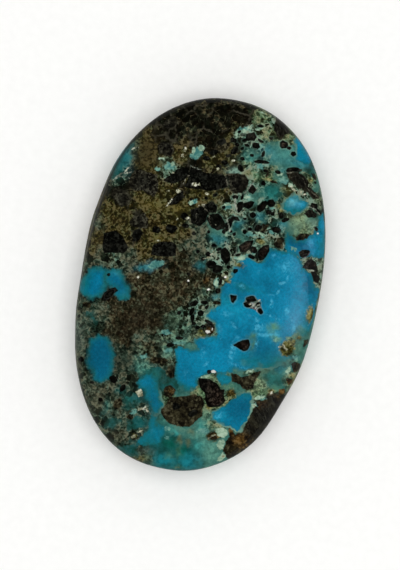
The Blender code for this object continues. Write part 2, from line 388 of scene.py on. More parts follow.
blackRock = {
    "warp": (0.10, 0.05),
    "shrink": 1.1,
    "corners": [
        # the broken slab across the top
        [(-7.7, 13.3), (-6.9, 14.3), (-6.2, 15.1), (-5, 15.6), (-4.5, 15.4), (-4.6, 14.6), (-5, 13.9),
         (-5.6, 13.5), (-6.6, 13.1)],
        [(-4.4, 15.5), (-3.4, 15.6), (-2.4, 15.3), (-2.4, 13.2), (-3, 13), (-3.9, 12.9), (-4.7, 13),
         (-4.4, 14)],
        [(-2.5, 15.3), (-1.6, 15.4), (0.3, 15.5), (0.7, 15.3), (1.1, 14.2), (0.8, 13.9), (-0.4, 13.4),
         (-1.5, 13.1), (-2.5, 13.1)],
        # the crescent, then the left side
        [(-13, -4.9), (-12.8, -4), (-12.2, -3.3), (-11.5, -2.9), (-11, -3.2), (-11.5, -3.6), (-11.9, -4.1),
         (-12.2, -4.7), (-12.6, -5)],
        [(-14.4, 4.3), (-12.9, 4.9), (-11.9, 4.4), (-10.8, 3), (-11.3, 2.2), (-13, 1.9), (-13.9, 1.6),
         (-14.3, 2.5)],
        [(-7.4, 4), (-6.5, 4.7), (-5, 4.9), (-4.3, 4.6), (-4.1, 3.2), (-5.4, 2.9), (-7.4, 2.7)],
        [(-6.4, 10), (-5.9, 11.2), (-4.9, 12.2), (-4.7, 11.4), (-5.4, 10.4)],
        # the three in the middle, with pale cement between
        [(-1.6, 10.9), (-0.5, 11.6), (0.2, 11.1), (0.2, 10.3), (-0.8, 10.1)],
        [(-3.2, 9.9), (-1.7, 10.6), (-0.8, 9.9), (-0.9, 8.8), (-1.6, 8), (-2.8, 8.2)],
        [(-0.7, 9.2), (-0.3, 9.8), (0.5, 10.1), (1.1, 9.8), (1.8, 9), (1.7, 8.3), (1, 7.9), (0, 8.2)],
        # the transition on the right
        [(4.4, 6.3), (5.4, 7.2), (6.1, 7.4), (6, 6.3), (5.4, 5.6), (4.8, 5.6)],
        [(2, 5.2), (2.5, 5.7), (3.2, 5.2), (3.5, 4.2), (3.1, 3.4), (2.3, 4.2)],
        [(7.2, 6.3), (7.8, 7), (8.5, 7.2), (8.7, 6.5), (8.2, 5.3), (7.7, 5), (7.3, 5.5)],
        [(13.1, 13.7), (13.2, 14.2), (13.9, 14.2), (14, 13.8), (13.5, 13.6)],
        [(13.9, 13.5), (14.1, 13.6), (14.9, 13.1), (14.8, 12.9), (14, 13.3)],
        [(13.7, 5.2), (14.1, 6.1), (14.7, 6.5), (15.5, 6.1), (15.7, 5.5), (14.8, 5.1)],
        [(15, 4.8), (15.7, 4.8), (16.5, 4.6), (17.1, 4.4), (17, 3), (16.6, 2.7), (16, 3.1), (15.5, 3.9)],
        [(15.9, 6.3), (16.6, 6.5), (17.4, 6.4), (17.4, 5.4), (16.5, 5.5)],
        [(4.6, -0.7), (5.4, -0.6), (5.5, -1), (5.1, -1.6), (4.9, -1.5)],
        [(2.6, -13), (4.1, -12.9), (5.2, -13.3), (5.9, -14), (6.4, -13.8), (6.4, -14.7), (6.6, -15.4),
         (6.2, -16.2), (5.5, -16.4), (4.6, -16.5), (4.1, -15.6), (3.9, -14.7), (3, -14.1)],
        [(6.4, -7.4), (7.4, -6.6), (8.3, -6.3), (8.6, -7), (8.4, -7.7), (7.9, -7.9), (7.3, -7.7)],
    ],
    "pieces": [
        (-9.9, 4.9, 1.6, 1, 80), (-7.4, 6.3, 1, 0.8), (-5.4, 6.8, 1.4, 1), (2.4, 9.1, 1.9, 0.7, 75),
        (1.9, 7.9, 0.6, 0.4, 90), (3.2, 10, 1, 0.35, -15), (3.4, 11.7, 1.2, 0.9, 70),
        (4.6, 12.3, 1.2, 0.8, 30), (2.5, 12.9, 0.8, 0.5), (4.6, 14.4, 1, 1), (5.4, 10.9, 0.7, 0.6),
        (4.4, 10.2, 0.35, 0.3), (4.8, 8.4, 0.6, 0.45, 80), (5.4, 8.9, 0.5, 0.4), (3.5, 13.1, 0.7, 0.22, 85),
        (-3.9, 8.9, 0.9, 0.8), (-3.6, 7.6, 0.8, 0.5), (-2.2, 6.8, 0.5, 0.4), (-0.2, 7.4, 0.4, 0.3, 90),
        (0.4, 4.3, 0.7, 0.5, -40), (4.5, 5.1, 0.6, 0.3, 30), (-1.1, 4.4, 0.4, 0.35), (-0.2, 3.5, 0.4, 0.4),
        (4.6, 2.8, 0.6, 0.5, 60), (1.1, 3, 1.1, 0.9, 20), (2.1, 2.6, 1.2, 0.9, 30), (3.5, 3.1, 0.5, 0.35),
        (2.9, 8.1, 0.3, 0.3), (1.2, 11.2, 0.4, 0.3), (-0.3, 12.6, 0.5, 0.4), (0.9, 5.7, 0.6, 0.3, 15),
        (1.7, 5.3, 0.7, 0.3, 30), (-0.9, 20.1, 1.1, 0.7, 30), (0.7, 20.7, 0.8, 0.5),
        (1.1, 19.3, 1, 0.7, 60), (-1.7, 18.5, 1.1, 0.6, 20), (0.1, 17.4, 0.8, 0.5), (2.4, 18.4, 0.6, 0.4),
        (2.4, 17, 0.9, 0.6, -30), (-0.6, 16.7, 0.7, 0.4), (1.3, 20.2, 0.5, 0.4), (2.1, 19.8, 0.5, 0.3, 40),
        (0.4, 18.4, 0.6, 0.3, 20), (-2.6, 17.4, 0.9, 0.5), (3, 21.6, 1.4, 1, 20), (3.9, 20.6, 0.9, 0.8),
        (4, 23.4, 0.7, 0.3, 10), (7.7, 21.5, 1, 0.9), (9.2, 20.4, 0.65, 0.5), (8.5, 21.1, 0.4, 0.3),
        (5.8, 22, 0.4, 0.3), (5.1, 19.6, 0.8, 0.3, 80), (5.1, 18.45, 1.8, 0.3, 4), (2.2, 21, 0.6, 0.3, 20),
        (4.4, 21.4, 0.8, 0.25, -20), (3.6, 19.1, 0.4, 0.3), (2.7, 20.4, 0.6, 0.3), (1.2, 22, 0.4, 0.2, 40),
        (9.6, 18.3, 1.7, 0.4, 15), (13.3, 17, 0.8, 0.25, -35), (6.4, 12.4, 1.6, 0.8, 60),
        (7.6, 13.1, 1, 0.85, 20), (9.3, 11.7, 0.7, 0.5, 80), (7.5, 11.8, 0.7, 0.5),
        (8.1, 11.7, 0.5, 0.3, 80), (10, 11.2, 0.9, 0.4, 30), (3.8, -11.8, 0.55, 0.5),
        (14.5, 10.8, 0.5, 0.3, -40), (9.1, 9.6, 1.2, 0.6, -5), (13.5, 7.1, 1.3, 0.8, 28),
        (6.5, 6.2, 0.8, 0.65), (6.4, 5.2, 0.75, 0.5, -15), (6.5, 9.3, 0.9, 0.7, 50),
        (-0.2, -2.8, 1, 0.6, 35), (-0.3, -4, 1, 0.4, 70), (0, -4.9, 0.9, 0.4, 95), (1, -4, 0.8, 0.55, 30),
        (1.2, -2.4, 0.8, 0.4), (1.7, -3, 0.6, 0.3, 60), (-2, -4.5, 0.45, 0.4), (1, -6, 0.45, 0.4),
        (0.3, -5.6, 0.5, 0.3), (1.7, -5.7, 0.5, 0.35), (2.7, -0.4, 0.7, 0.6, 80), (2.8, 0.9, 0.9, 0.3, 85),
        (-1.7, 1.1, 0.4, 0.3), (-1.3, -8, 0.9, 0.3, 15), (-2.3, -9.2, 0.9, 0.4, 25),
        (2.4, -5, 1.1, 0.35, -20), (7.5, -0.7, 1.2, 0.7, 10), (7.2, -1.5, 0.9, 0.6, -10),
        (8.6, -1.2, 0.7, 0.5, 60), (9.1, -2, 0.7, 0.5, -40), (-14.3, -13.7, 0.9, 0.6, 10),
        (-13.6, -16.7, 0.5, 0.4), (-9.1, -15.5, 1.1, 0.8), (-7.6, -16.4, 0.9, 0.5, 70),
        (-10.3, -18.6, 0.5, 0.45), (-12, -16.5, 0.5, 0.3), (-12.7, -1.3, 0.35, 0.3),
        (-15.9, -1.5, 0.35, 0.3), (-16.2, -2.8, 0.35, 0.3), (6.2, -15.4, 1.1, 0.8, 60),
        (2.7, -17.9, 1.2, 0.7, 40), (0.2, -17.4, 1, 0.8), (-1.5, 12, 0.4, 0.3), (3.4, 7.8, 0.4, 0.3, 60),
        (-3.5, 11.4, 0.35, 0.3, 60), (7.7, 17.5, 0.7, 0.3), (6, 15.6, 0.5, 0.5), (5.9, 17.3, 0.4, 0.3),
    ],
}

brownRock = {  # iron-stained rock with pale flecks
    "warp": (0.14, 0.08),
    "shrink": 0.5,
    "corners": [
        [(-1.8, -18.4), (-1.2, -17.3), (-0.9, -16.4), (0.4, -16), (1.8, -15.5), (2.6, -15.2), (3.5, -15.4),
         (4.1, -16.2), (3.9, -17), (4.1, -18), (3.4, -18.9), (2.6, -19.9), (1.2, -20.1), (-0.3, -20),
         (-1.4, -19.2)],
        [(6.8, -11.2), (7.7, -11.3), (8.4, -11.6), (9.3, -11.2), (9.9, -10.6), (11, -10), (10.5, -11.3),
         (10.3, -12.1), (10.4, -12.8), (9.6, -13.2), (8.8, -13.1), (8.2, -12.6), (7.2, -12.4)],
        [(5.8, 25.1), (7.1, 25.1), (8.5, 24), (8.3, 23.3), (7.6, 22.8), (7.2, 21.9), (6.6, 22.3),
         (5.9, 23.2)],
        # the end of the slab
        [(0.7, 15.4), (0.9, 16), (2, 16.3), (3.3, 16.2), (3.9, 15.5), (3.7, 14.5), (3.3, 13.7), (2.2, 13.4),
         (1.3, 13.9)],
        # the dark corner at the lower right
        [(11.2, -14.5), (12.1, -14.2), (12.4, -13), (13.4, -12.9), (14.6, -13.4), (16, -14), (14.5, -19),
         (12, -22.5), (9.5, -24.5), (8.5, -23), (7.9, -22.2), (8, -20.8), (8.3, -20), (7.9, -19.1),
         (8.2, -18.8), (9, -19.7), (9.9, -19.3), (10.2, -18.3), (10.4, -17.2), (10.8, -16.6),
         (10.8, -15.6)],
        [(14.7, -8.4), (15.2, -7.9), (16, -8), (17.2, -8.5), (16.8, -9.7), (15.3, -9.6)],
        [(14.5, -10.5), (15.3, -10.4), (16.4, -10.8), (15.9, -11.5), (14.9, -11.4)],
        [(15.8, -4.8), (16.5, -4.3), (17.4, -4.6), (17.2, -5.6), (16, -5.8)],
        [(9.1, 7.5), (9.4, 8.5), (10.2, 8.8), (10.4, 7.2), (9.8, 7.1)],
        # dark ones on the left
        [(-12.3, 11.2), (-12.6, 12.6), (-12.2, 13.6), (-11.4, 14.2), (-10, 14), (-8.8, 13.9), (-8.4, 12.8),
         (-8.4, 11.2), (-8.8, 10.6), (-9.6, 10.8), (-10.4, 11.2), (-11.4, 11)],
        [(-14.6, 10.6), (-13.6, 10.9), (-12.4, 10.7), (-11.6, 10), (-11.8, 8.9), (-12.8, 8.4), (-13.8, 8.9),
         (-14.6, 9.6)],
        [(-11.4, 6.6), (-10.8, 7.6), (-9.6, 8.2), (-8.8, 7.6), (-8.7, 6.3), (-9.8, 5.9), (-10.9, 6)],
        # the sheared one at the upper right
        [(8.6, 18), (10.3, 18.5), (10.5, 18.05), (11.4, 17.8), (12, 17.2), (12.2, 16.5), (13.4, 15.9),
         (14.5, 15.1), (13.3, 14.8), (12.6, 15.4), (11.9, 15.8), (10.9, 15.9), (10.4, 16.2), (9.6, 16.7),
         (8.9, 17.3)],
        [(12, 9.2), (12.6, 9.8), (13.9, 9.8), (13.5, 9.3), (12.7, 8.8), (12.1, 8.8)],
        [(12.4, 12.5), (12.9, 13.2), (13.4, 13.4), (14, 13), (14.3, 12.6), (13.9, 12.2), (13, 12.1)],
        [(1.8, -5.3), (2.2, -4.8), (2.9, -5), (3.3, -5.7), (3.2, -6.4), (2.8, -6.8), (2.3, -6.7), (2, -6)],
    ],
    "pieces": [
        (-1.1, -15.5, 1.7, 1.5, 80), (14.4, -12.5, 1.2, 1.1), (6.9, 9.3, 2.1, 1.1, 35),
        (12.9, 17.9, 1.2, 0.7, -50), (2.9, -2.1, 1, 0.5), (0.9, 0.8, 1.3, 0.9, 60),
        (-7.8, -18.7, 1.6, 1, 80), (-3.4, -11.6, 2.4, 0.9, 10), (-1.6, -12.9, 1.8, 0.45, -65),
        (-14.9, -6, 1.2, 0.7), (7.4, 16.1, 1, 0.4), (6.2, 17, 0.4, 1.2), (-8.4, 21.5, 1.9, 1.5, 20),
        (-8.3, 17.6, 2.6, 2.1), (-5.9, -20.2, 1, 0.6), (-0.6, 19.4, 2.2, 1.2, 40), (10.4, 18.3, 1, 0.5, 20),
    ],
}

oliveStain = {
    "warp": (0.18, 0.10),
    "shrink": 0.8,
    "patches": [
        [(12.8, -6.1), (13.2, -5.4), (14, -5.2), (14.9, -4.9), (14.8, -6), (14.6, -7), (14, -7.6),
         (13.3, -7.5), (12.7, -6.8)],
        (15.1, -4.6, 0.9, 0.7, -30), (16.1, -1.1, 1.5, 2.6), (7.2, 7.5, 1.4, 0.8), (5, 3.6, 1.4, 0.8),
        (12.7, -12.8, 1.1, 0.9), (12.1, -14.8, 1.2, 0.6, 20), (4.8, -16.5, 0.9, 0.9),
        (7.4, -14.1, 1.2, 1.3), (6.1, -20.5, 2.3, 1.5, 15), (8.8, 13, 0.7, 0.6), (9.2, 12.3, 0.7, 0.5),
        (1.9, -7, 1.5, 0.6), (1.6, -6.4, 0.8, 0.6), (3.8, 1.2, 1, 0.7), (6.6, 16.3, 1.6, 0.6, 10),
        (12.3, 17.4, 0.8, 0.6, -30), (2, -25.9, 0.8, 0.4), (15.3, -10, 0.9, 0.8), (9.9, -20.4, 1.6, 1, 30),
        (-4.7, -22.7, 0.6, 0.5),
    ],
}

mintStone = {  # pale, chalky turquoise
    "warp": (0.12, 0.14),
    "shrink": 1,
    "patches": [
        [(-4.9, 17.3), (-4.4, 18.6), (-3.3, 19.1), (-3.1, 18.3), (-3.5, 17.3), (-4.2, 16.9)],
        [(-7.6, 0.9), (-7.2, 1.5), (-6.4, 2), (-5.6, 2.2), (-5.4, 1.6), (-6.3, 1), (-7.2, 0.7)],
        [(1, 11.3), (1.5, 11.8), (2.1, 11.9), (2.3, 11.4), (1.8, 11.1), (1.3, 11)],
        [(-3.6, 10.9), (-3.5, 11.5), (-3, 11.5), (-2.6, 11.6), (-2.6, 10.9), (-3.1, 10.6)],
        [(3.9, 13.1), (4, 13.7), (4.6, 13.5), (5, 13.2), (4.5, 12.9)], (-7.4, 15.3, 1.7, 1, 20),
        (1.8, 22.5, 1.6, 0.6, 15), (11.7, -14, 1, 0.45, 15), (8.7, 16.5, 1.5, 0.8, -10),
        (8.3, 17.9, 0.7, 0.5), (5.6, 8.2, 1.5, 0.5, 15), (7.2, 8.4, 1.2, 0.3, -25),
        (4.8, 4.6, 1.4, 0.6, 12), (8.5, 9.1, 0.9, 0.5, -10), (-5.6, -11.5, 1.4, 0.5, 10),
        (2.3, 0.6, 0.8, 1.2, 15), (-1.4, -8.7, 1.6, 0.4, 10), (-3.2, -7.6, 1.2, 0.9),
        (-2.4, -10, 1.2, 0.6, 20), (10.9, -15.1, 0.8, 0.5), (2.1, 9, 0.7, 0.4, 110), (6, 5.4, 1.2, 0.4, 30),
        (12, 7.5, 0.9, 0.5, -30), (5, 17.8, 1.1, 0.7), (4.6, 20.7, 1, 0.5, 20), (-8.9, 14.7, 0.8, 0.5),
        (15.2, -7.4, 1, 0.6), (0.3, -4.2, 0.25, 1.4, -10), (-0.4, -20.7, 0.8, 0.6), (-0.1, -21.9, 0.6, 0.4),
        (4.6, -20.1, 1.8, 0.6, 10), (-5.4, -19.4, 0.8, 0.5, 30), (7.7, 12.3, 0.6, 0.25, 20),
        (12.1, -5.6, 0.6, 0.6),
    ],
}

chalkStone = {  # the palest and smoothest of it
    "warp": (0.10, 0.08),
    "shrink": 0.8,
    "patches": [
        [(6.3, -19.9), (6.5, -19.3), (7.1, -19.1), (7.9, -19.3), (8.1, -20), (7.6, -20.4), (6.8, -20.3)],
        [(6.9, -21.2), (7.3, -20.6), (7.8, -20.8), (7.9, -21.9), (7.4, -22.3), (6.9, -21.8)],
        [(7.4, -23.2), (7.9, -22.5), (8.5, -22.8), (8.4, -23.6), (7.9, -24.2), (7.2, -24)],
        (11.4, -13.9, 1.4, 0.6, 25), (10.8, -15.2, 0.7, 0.6), (1.7, 22.2, 1.1, 0.5, 25),
        (2.6, 22.8, 0.5, 0.4), (0.9, 21.7, 0.4, 0.8), (-3.5, 18.7, 1, 0.8, -10), (-4.5, 18.2, 0.5, 1),
        (3.9, 13.2, 1.1, 0.4, 10), (9.7, 16.1, 0.9, 0.5, -30), (8, 17.3, 1, 0.4, 20),
        (4.9, 4.7, 1.2, 0.5, 25), (2.3, 0.5, 0.5, 1, 10), (3.2, 0.9, 0.3, 0.6), (-3.4, 10.9, 0.7, 0.6),
        (1.6, 11.6, 1.1, 0.4, 25), (-7, 15.8, 0.7, 0.6), (-8.6, 16.1, 0.8, 0.25), (3.8, 23, 0.9, 0.3, 20),
        (4, 25.3, 0.8, 0.4, -15), (6.9, 8.6, 1.5, 0.4, -10), (2.2, 8, 0.4, 1.2, 15),
        (0.4, -4.3, 0.25, 1.6, -8), (-0.2, -3.2, 0.9, 0.2, 35), (14.6, -9.4, 0.5, 1.2),
        (3.4, -12.6, 1.4, 0.4, 25), (9.3, -10.6, 0.8, 0.3, 30),
    ],
}

greyRock = {
    "warp": (0.08, 0.06),
    "shrink": 1,
    "patches": [
        [(6.7, -1.2), (6.9, -0.5), (7.9, -0.2), (8.6, -0.6), (9.1, -1.4), (9.5, -2.1), (9.1, -2.4),
         (8.3, -2), (7.2, -1.9), (6.7, -1.6)],
        (13.6, 7.1, 1.5, 1.1, 25),
    ],
}

creamCrystal = {
    "warp": (0.05, 0.05),
    "shrink": 1.4,
    "patches": [
        (-3.45, 13.5, 0.65, 0.6), (-2.75, 13.6, 0.35, 0.35), (-5.5, 12.1, 0.6, 0.45),
        (-1.4, 12.6, 0.5, 0.35), (-5.7, 18.1, 0.3, 0.6), (-5.9, 17.1, 0.3, 0.5), (1.2, 17.9, 0.4, 0.3),
        (-0.7, 16.4, 0.35, 0.3), (-1.6, 17.9, 0.3, 0.25), (-6.9, 11.9, 0.35, 0.25), (10.3, 15.5, 0.5, 0.3),
        (11.4, 15.45, 0.3, 0.25), (11.9, 15.25, 0.35, 0.25), (9.9, 15.9, 0.4, 0.25, -30),
        (-6.4, 10.3, 0.9, 0.16, 65), (7.5, -1.35, 0.3, 0.18, 30), (13.3, -6.2, 1, 0.25, -50),
        (12.8, -6.4, 0.4, 0.3, 40), (13.8, -6.5, 0.3, 0.25), (12.9, -13, 0.4, 0.3),
        [(-5.8, -16.6), (-5.1, -16), (-4.6, -16.9), (-5.2, -17.2)], (-3.7, -18.7, 0.9, 0.2, -48),
        (-4.5, -18.8, 0.8, 0.3, 20), (-4, -21.9, 0.5, 0.2, 50), (-4.8, -22.8, 0.5, 0.3, 40),
        (6.1, -20.4, 0.5, 0.3, 20), (5.6, -20.9, 0.3, 0.25), (10.9, -15.2, 0.5, 0.3),
        (-6.8, 4.8, 0.35, 0.2, 20), (-8.6, -0.8, 0.3, 0.25), (0.6, 3.9, 1, 0.16, 20),
        (0.9, 4.6, 0.7, 0.14, 60), (16.4, -5, 0.4, 0.25, 20), (-4.9, 8.3, 0.25, 0.2),
        (-4.3, 7.5, 0.35, 0.25), (-2.9, 8, 0.16, 0.16), (8.1, -23, 0.5, 0.4), (0.6, 8.6, 0.16, 0.16),
        (-6.7, 14.6, 0.3, 0.2), (-4.2, 15.9, 0.2, 0.2), (12.9, -12.8, 0.35, 0.25),
        (-1.8, 10.9, 0.7, 0.2, 30), (-3.5, 8.7, 0.45, 0.3, 20),
    ],
}

glint = {  # pale crystal faces in the open pits, painted near white: part their own colour, part painted highlight of their glints
    "warp": (0.02, 0.04),
    "shrink": 0.1,  # enough to keep them off the back
    "patches": [
        [(2.2, -6.1), (2.7, -6.15), (2.85, -6.35), (2.5, -6.6), (2.15, -6.4)],
        [(2.95, -5.6), (3.1, -5.7), (3.1, -6.1), (2.95, -6)],
        [(4, -11.6), (4.3, -11.4), (4.75, -11.55), (4.65, -11.8), (4.15, -11.85)], (3.35, 1.65, 0.35, 0.35),
        (1.4, -0.5, 0.45, 0.26, 20), (-1.6, 0.15, 0.26, 0.24), (14.85, 10.25, 0.24, 0.22),
    ],
}

# The ground rock changes from place to place. Each kind owns the ground nearest its points: (x, y, reach)
rockMap = {
    "soot": [
        (-6, 24, 4.2), (-2, 25, 3.6), (-8.5, 21, 3.4), (-3.2, 21.8, 3.4), (0.6, 24.6, 2.4),
        (-12.2, 12.6, 1.2), (-6.2, 20.2, 1.8), (-12.8, 9.6, 1.4), (-14, 10.2, 0.9), (7.4, 23.8, 1.1),
        (-8.4, 17.6, 1.5), (-9, 19.6, 1.6), (12.4, -15.5, 1.6), (12, -17.6, 1.8), (13.4, -14.4, 1.2),
        (-0.9, 15.9, 0.8), (-10, 7, 1.2), (-10, 4.9, 0.7), (-4.8, 16.4, 0.8), (-2.2, 19.2, 0.8),
        (-5.2, 11.6, 0.7),
    ],
    "khaki": [
        (0.6, 19.2, 1.6), (0.8, 17.8, 1.3), (-11, 17, 2.4), (-11.4, 19.6, 1.4), (-3, -25.2, 0.8),
        (-2, -25.4, 0.6), (-13.4, 7.4, 2.2), (-12.2, 5.8, 1.8), (-9, 9.2, 2.2), (-6, 8.8, 2.3),
        (-5, 10.2, 1.9), (-2.6, 12.4, 1.6), (-7.4, 12, 1.5), (-3.6, 6.4, 1.6), (-6.8, 17.6, 1.6),
        (-6.4, 5.6, 1.4), (-0.6, 12.4, 1.3), (-9.2, 15, 1.3), (-8.2, 3.6, 1.4), (-15.4, 3.4, 1),
        (-15.2, 8, 1.1), (-11.4, 14.8, 1.3), (-1.2, 17.4, 1.4), (-0.4, 20.8, 1.2), (-6, 19.2, 1),
        (-3.6, 19.9, 1), (0.6, 23, 0.9), (-8.6, 5.4, 1), (1, 12.9, 0.9), (-15.8, 1.4, 0.9),
    ],
    "umber": [
        (-5, -2, 4), (-2, 0.5, 3), (-7.5, -5, 3.4), (-5.4, -5.6, 2.5), (-9.4, -7.4, 2.2), (0.8, 1, 1.6),
        (-8.4, -1, 2), (-3.4, 2.6, 2), (-6, 0.2, 2), (-9.4, -9.2, 1.6), (-4.6, -10.8, 1.3),
        (-9.6, -5.6, 1.6), (-10.6, -6.6, 1.2), (-1.9, -13, 0.8), (-3.2, -11.6, 1.2), (-11.8, -4.4, 0.7),
    ],
    "ash": [
        (-11, 1.2, 1.4), (-2.6, 5.6, 1.7), (-1.2, 6.8, 1.4), (-1.6, 4, 1.4), (-2.8, 7.6, 1.1),
        (-0.6, 5, 1.2), (-16, 0.2, 1.3), (-15.4, 5.8, 0.8), (-15.2, 11.2, 0.7), (-14.8, -6.4, 1.3),
        (-15.6, -8.4, 1.8), (-15, -11, 1.6), (-15, -14, 1.8), (-12.6, -17.8, 2.4), (-9, -13.4, 1.7),
        (-9.6, -17.2, 2.2), (-11.4, -19.6, 2.2), (-7.6, -12.2, 1.6), (-7.6, -19.4, 1.6),
        (-10.4, -21.2, 1.5), (-12.4, -7, 1.6), (-7.4, -22.8, 1.6), (-9.4, -11, 1.3), (-13.4, 0.8, 1.5),
        (-6.6, -8.9, 1.4), (-6.6, -14.8, 1.2), (-4.4, -18.9, 0.9), (-4.4, -22.6, 0.9), (-3, -24.4, 0.8),
        (-13, -9.2, 0.9), (-6.2, -16.2, 0.9), (-6, -19.6, 0.9), (-6.6, -21.6, 0.9), (-5.8, -23.2, 1.1),
        (-7.4, -15.6, 0.9),
    ],
    "sage": [
        (0.6, 6.2, 0.9), (-2.8, -5.5, 2), (-2.5, -8.2, 2), (0.3, -6.6, 1.5), (1.6, -1.5, 1.5),
        (-0.4, 3.6, 0.8), (4.4, 6.8, 0.9), (5.6, 10.6, 1.5), (4.4, 9.4, 1), (3, 19.4, 1), (4.6, 19.8, 1),
        (8.8, 13, 0.9), (9, 16.2, 1), (14.4, 13.6, 0.7), (-3, -10, 1.3), (-5.9, -11.4, 1), (7, 7.4, 1.2),
        (6.6, 9, 1.2), (5, 3.6, 0.9), (1.4, 18.4, 0.9), (-7.6, 15.2, 1), (-13.4, 12.8, 0.7),
        (-12.6, 17.4, 0.5), (-5.6, -12.9, 1), (-8.6, -18.9, 0.8), (4.6, 18.6, 0.8), (1, 9.9, 0.7),
        (-12, 1.4, 0.7),
    ],
    "web": [
        (15.4, 5, 1.2), (1.4, 4.4, 1.5), (3.2, 3.2, 1.3), (0.6, 5.4, 0.9), (2.8, 6.2, 1.1), (5.6, 8.4, 1.2),
        (7.2, 8.4, 1), (0.2, -3.8, 1.3), (1, -2.6, 1), (0.4, -5.4, 1.1), (2.6, 12, 1.5), (3.6, 10.6, 1.2),
        (2.2, 9.4, 1), (2.2, 21.8, 1.5), (3.6, 20.8, 1.1), (4.2, 22.8, 1), (4.6, 14.6, 1.1),
        (13.2, 14.6, 1.2), (11.8, 16.2, 1.2), (6, 6.2, 1), (5.4, 24, 0.9), (-7.4, 15, 1), (7.6, 12, 1.2),
        (9.4, 11.8, 1), (-13.4, 12.8, 0.8), (2.2, 1.2, 0.9), (-3.4, -11.6, 0.8), (-12.6, 1.2, 1),
        (6.2, 13, 0.9), (2.4, -1.8, 0.7), (-1.6, -8.6, 0.8), (9, 9.4, 1), (4.6, 17.8, 1.1),
        (3.6, 16.9, 1.1), (5.6, 17.1, 1.1), (6.2, 15.9, 0.8), (-4.2, -22.4, 0.5), (-4.2, -18.8, 0.5),
    ],
    "moss": [
        (12.2, 11.9, 0.8), (13.4, 10.6, 0.9), (3.2, 17.4, 1.1), (3.6, 24.8, 1.3), (4.6, 22.9, 1.2),
        (5.9, 22.6, 1), (6.6, 16.6, 1), (5, 16.6, 0.9), (8.9, 15.2, 0.8), (9, 12.9, 0.8), (12.3, 17.4, 0.7),
        (15.2, -9.9, 0.8), (10.9, -11.6, 0.8), (11.2, -13.3, 0.8), (2.9, -14.7, 0.6), (4.3, -12.5, 0.6),
        (7.3, -14.9, 0.6), (12.2, -5.4, 0.5), (13.8, 15, 0.6), (6.2, 19.1, 0.7), (12.6, -12.9, 0.7),
        (8.6, 22.2, 0.9), (1.6, 10.7, 0.5), (-0.9, -16.2, 0.4), (5, -18.9, 0.5), (14.6, -7.9, 0.6),
        (3.2, 2.2, 0.5),
    ],
    "seaGreen": [
        (11.4, 10.9, 0.9), (13.3, 11.6, 0.8), (8.2, 19.9, 1.8), (6.9, 18.8, 1.1), (6.4, 20.6, 1.1),
        (0.8, 7.3, 1.2), (4.7, 7.5, 1.1), (5.3, 13.7, 1), (3.3, 19.4, 1.1), (5.4, -22.6, 1.4),
        (6.6, -23.5, 1.4), (7.1, -21.6, 0.9), (2.3, -20.8, 1.2), (0.2, -21, 1), (4.2, -20, 1),
        (15.6, -6.6, 0.9), (14.4, -9, 1), (8.2, 16.7, 1), (13.6, 17, 1), (5, 17.9, 0.6), (0.6, -8.5, 0.8),
        (0.6, -15.3, 0.7), (7.9, -13.2, 0.7), (3.4, -12.2, 0.5),
    ],
    "deepTeal": [
        (1, -23.6, 3), (4, -24.2, 2.2), (-1.2, -24.6, 1.6), (-4.6, -20.4, 0.9), (-4.9, -24.2, 0.9),
        (2.5, -25.6, 1.6), (-5.4, -14.2, 0.6), (-3.4, -13.2, 1), (12.2, -9.2, 1.4), (9.2, -8.6, 1),
        (12.6, -11.3, 1.3), (7.5, 14.4, 1.2), (9.8, 10.6, 0.9), (1.6, 6.3, 0.8), (3.7, 9.2, 1),
        (6.5, 11, 0.9), (-0.4, -14.8, 0.9), (-14.2, 15.6, 1.2), (-14.2, 13.4, 0.9), (-13.4, 17.4, 0.8),
        (-14, -7.5, 0.8), (-6.4, -18, 0.6), (-8.2, -16.8, 0.6), (-5.8, -21.4, 0.5), (-8.1, -21.8, 0.9),
        (-5.4, -17.8, 0.9), (3.4, -22.4, 1.2), (2.2, -1.4, 0.8), (-0.5, 2.6, 0.8), (12.6, 18.9, 0.9),
        (-3.4, -6.6, 0.7), (-6.4, -13.2, 0.7), (-9.7, -20.3, 0.6), (-2.6, -15, 0.8),
    ],
}

# pale cement lines across the black slab and between the black pieces: corners, then width in mm
cementLines = [
    ([(0.6, 15.8), (0.9, 14.8), (1.1, 14.2), (1.2, 13.2)], 0.10),
    ([(-2.3, 10.0), (-2.4, 9.4), (-2.2, 8.9), (-2.3, 8.3)], 0.10),
    ([(-1.9, 10.9), (-1.2, 10.3), (-0.7, 10.0), (-0.5, 9.4), (0.0, 8.3)], 0.14),
    ([(3.9, 15.0), (3.6, 14.0)], 0.12),
    ([(-4.6, 16.0), (-4.5, 14.6), (-5.0, 13.2)], 0.12),
    ([(8.9, 17.6), (9.6, 17.95), (10.4, 18.05)], 0.12),
    ([(9.6, 17.2), (10.4, 17.6), (11.2, 17.4), (11.8, 16.6)], 0.06),
    ([(12.2, 16.1), (13.0, 15.7), (13.9, 15.2)], 0.14),
    ([(12.6, 15.4), (13.2, 15.0)], 0.10),
]

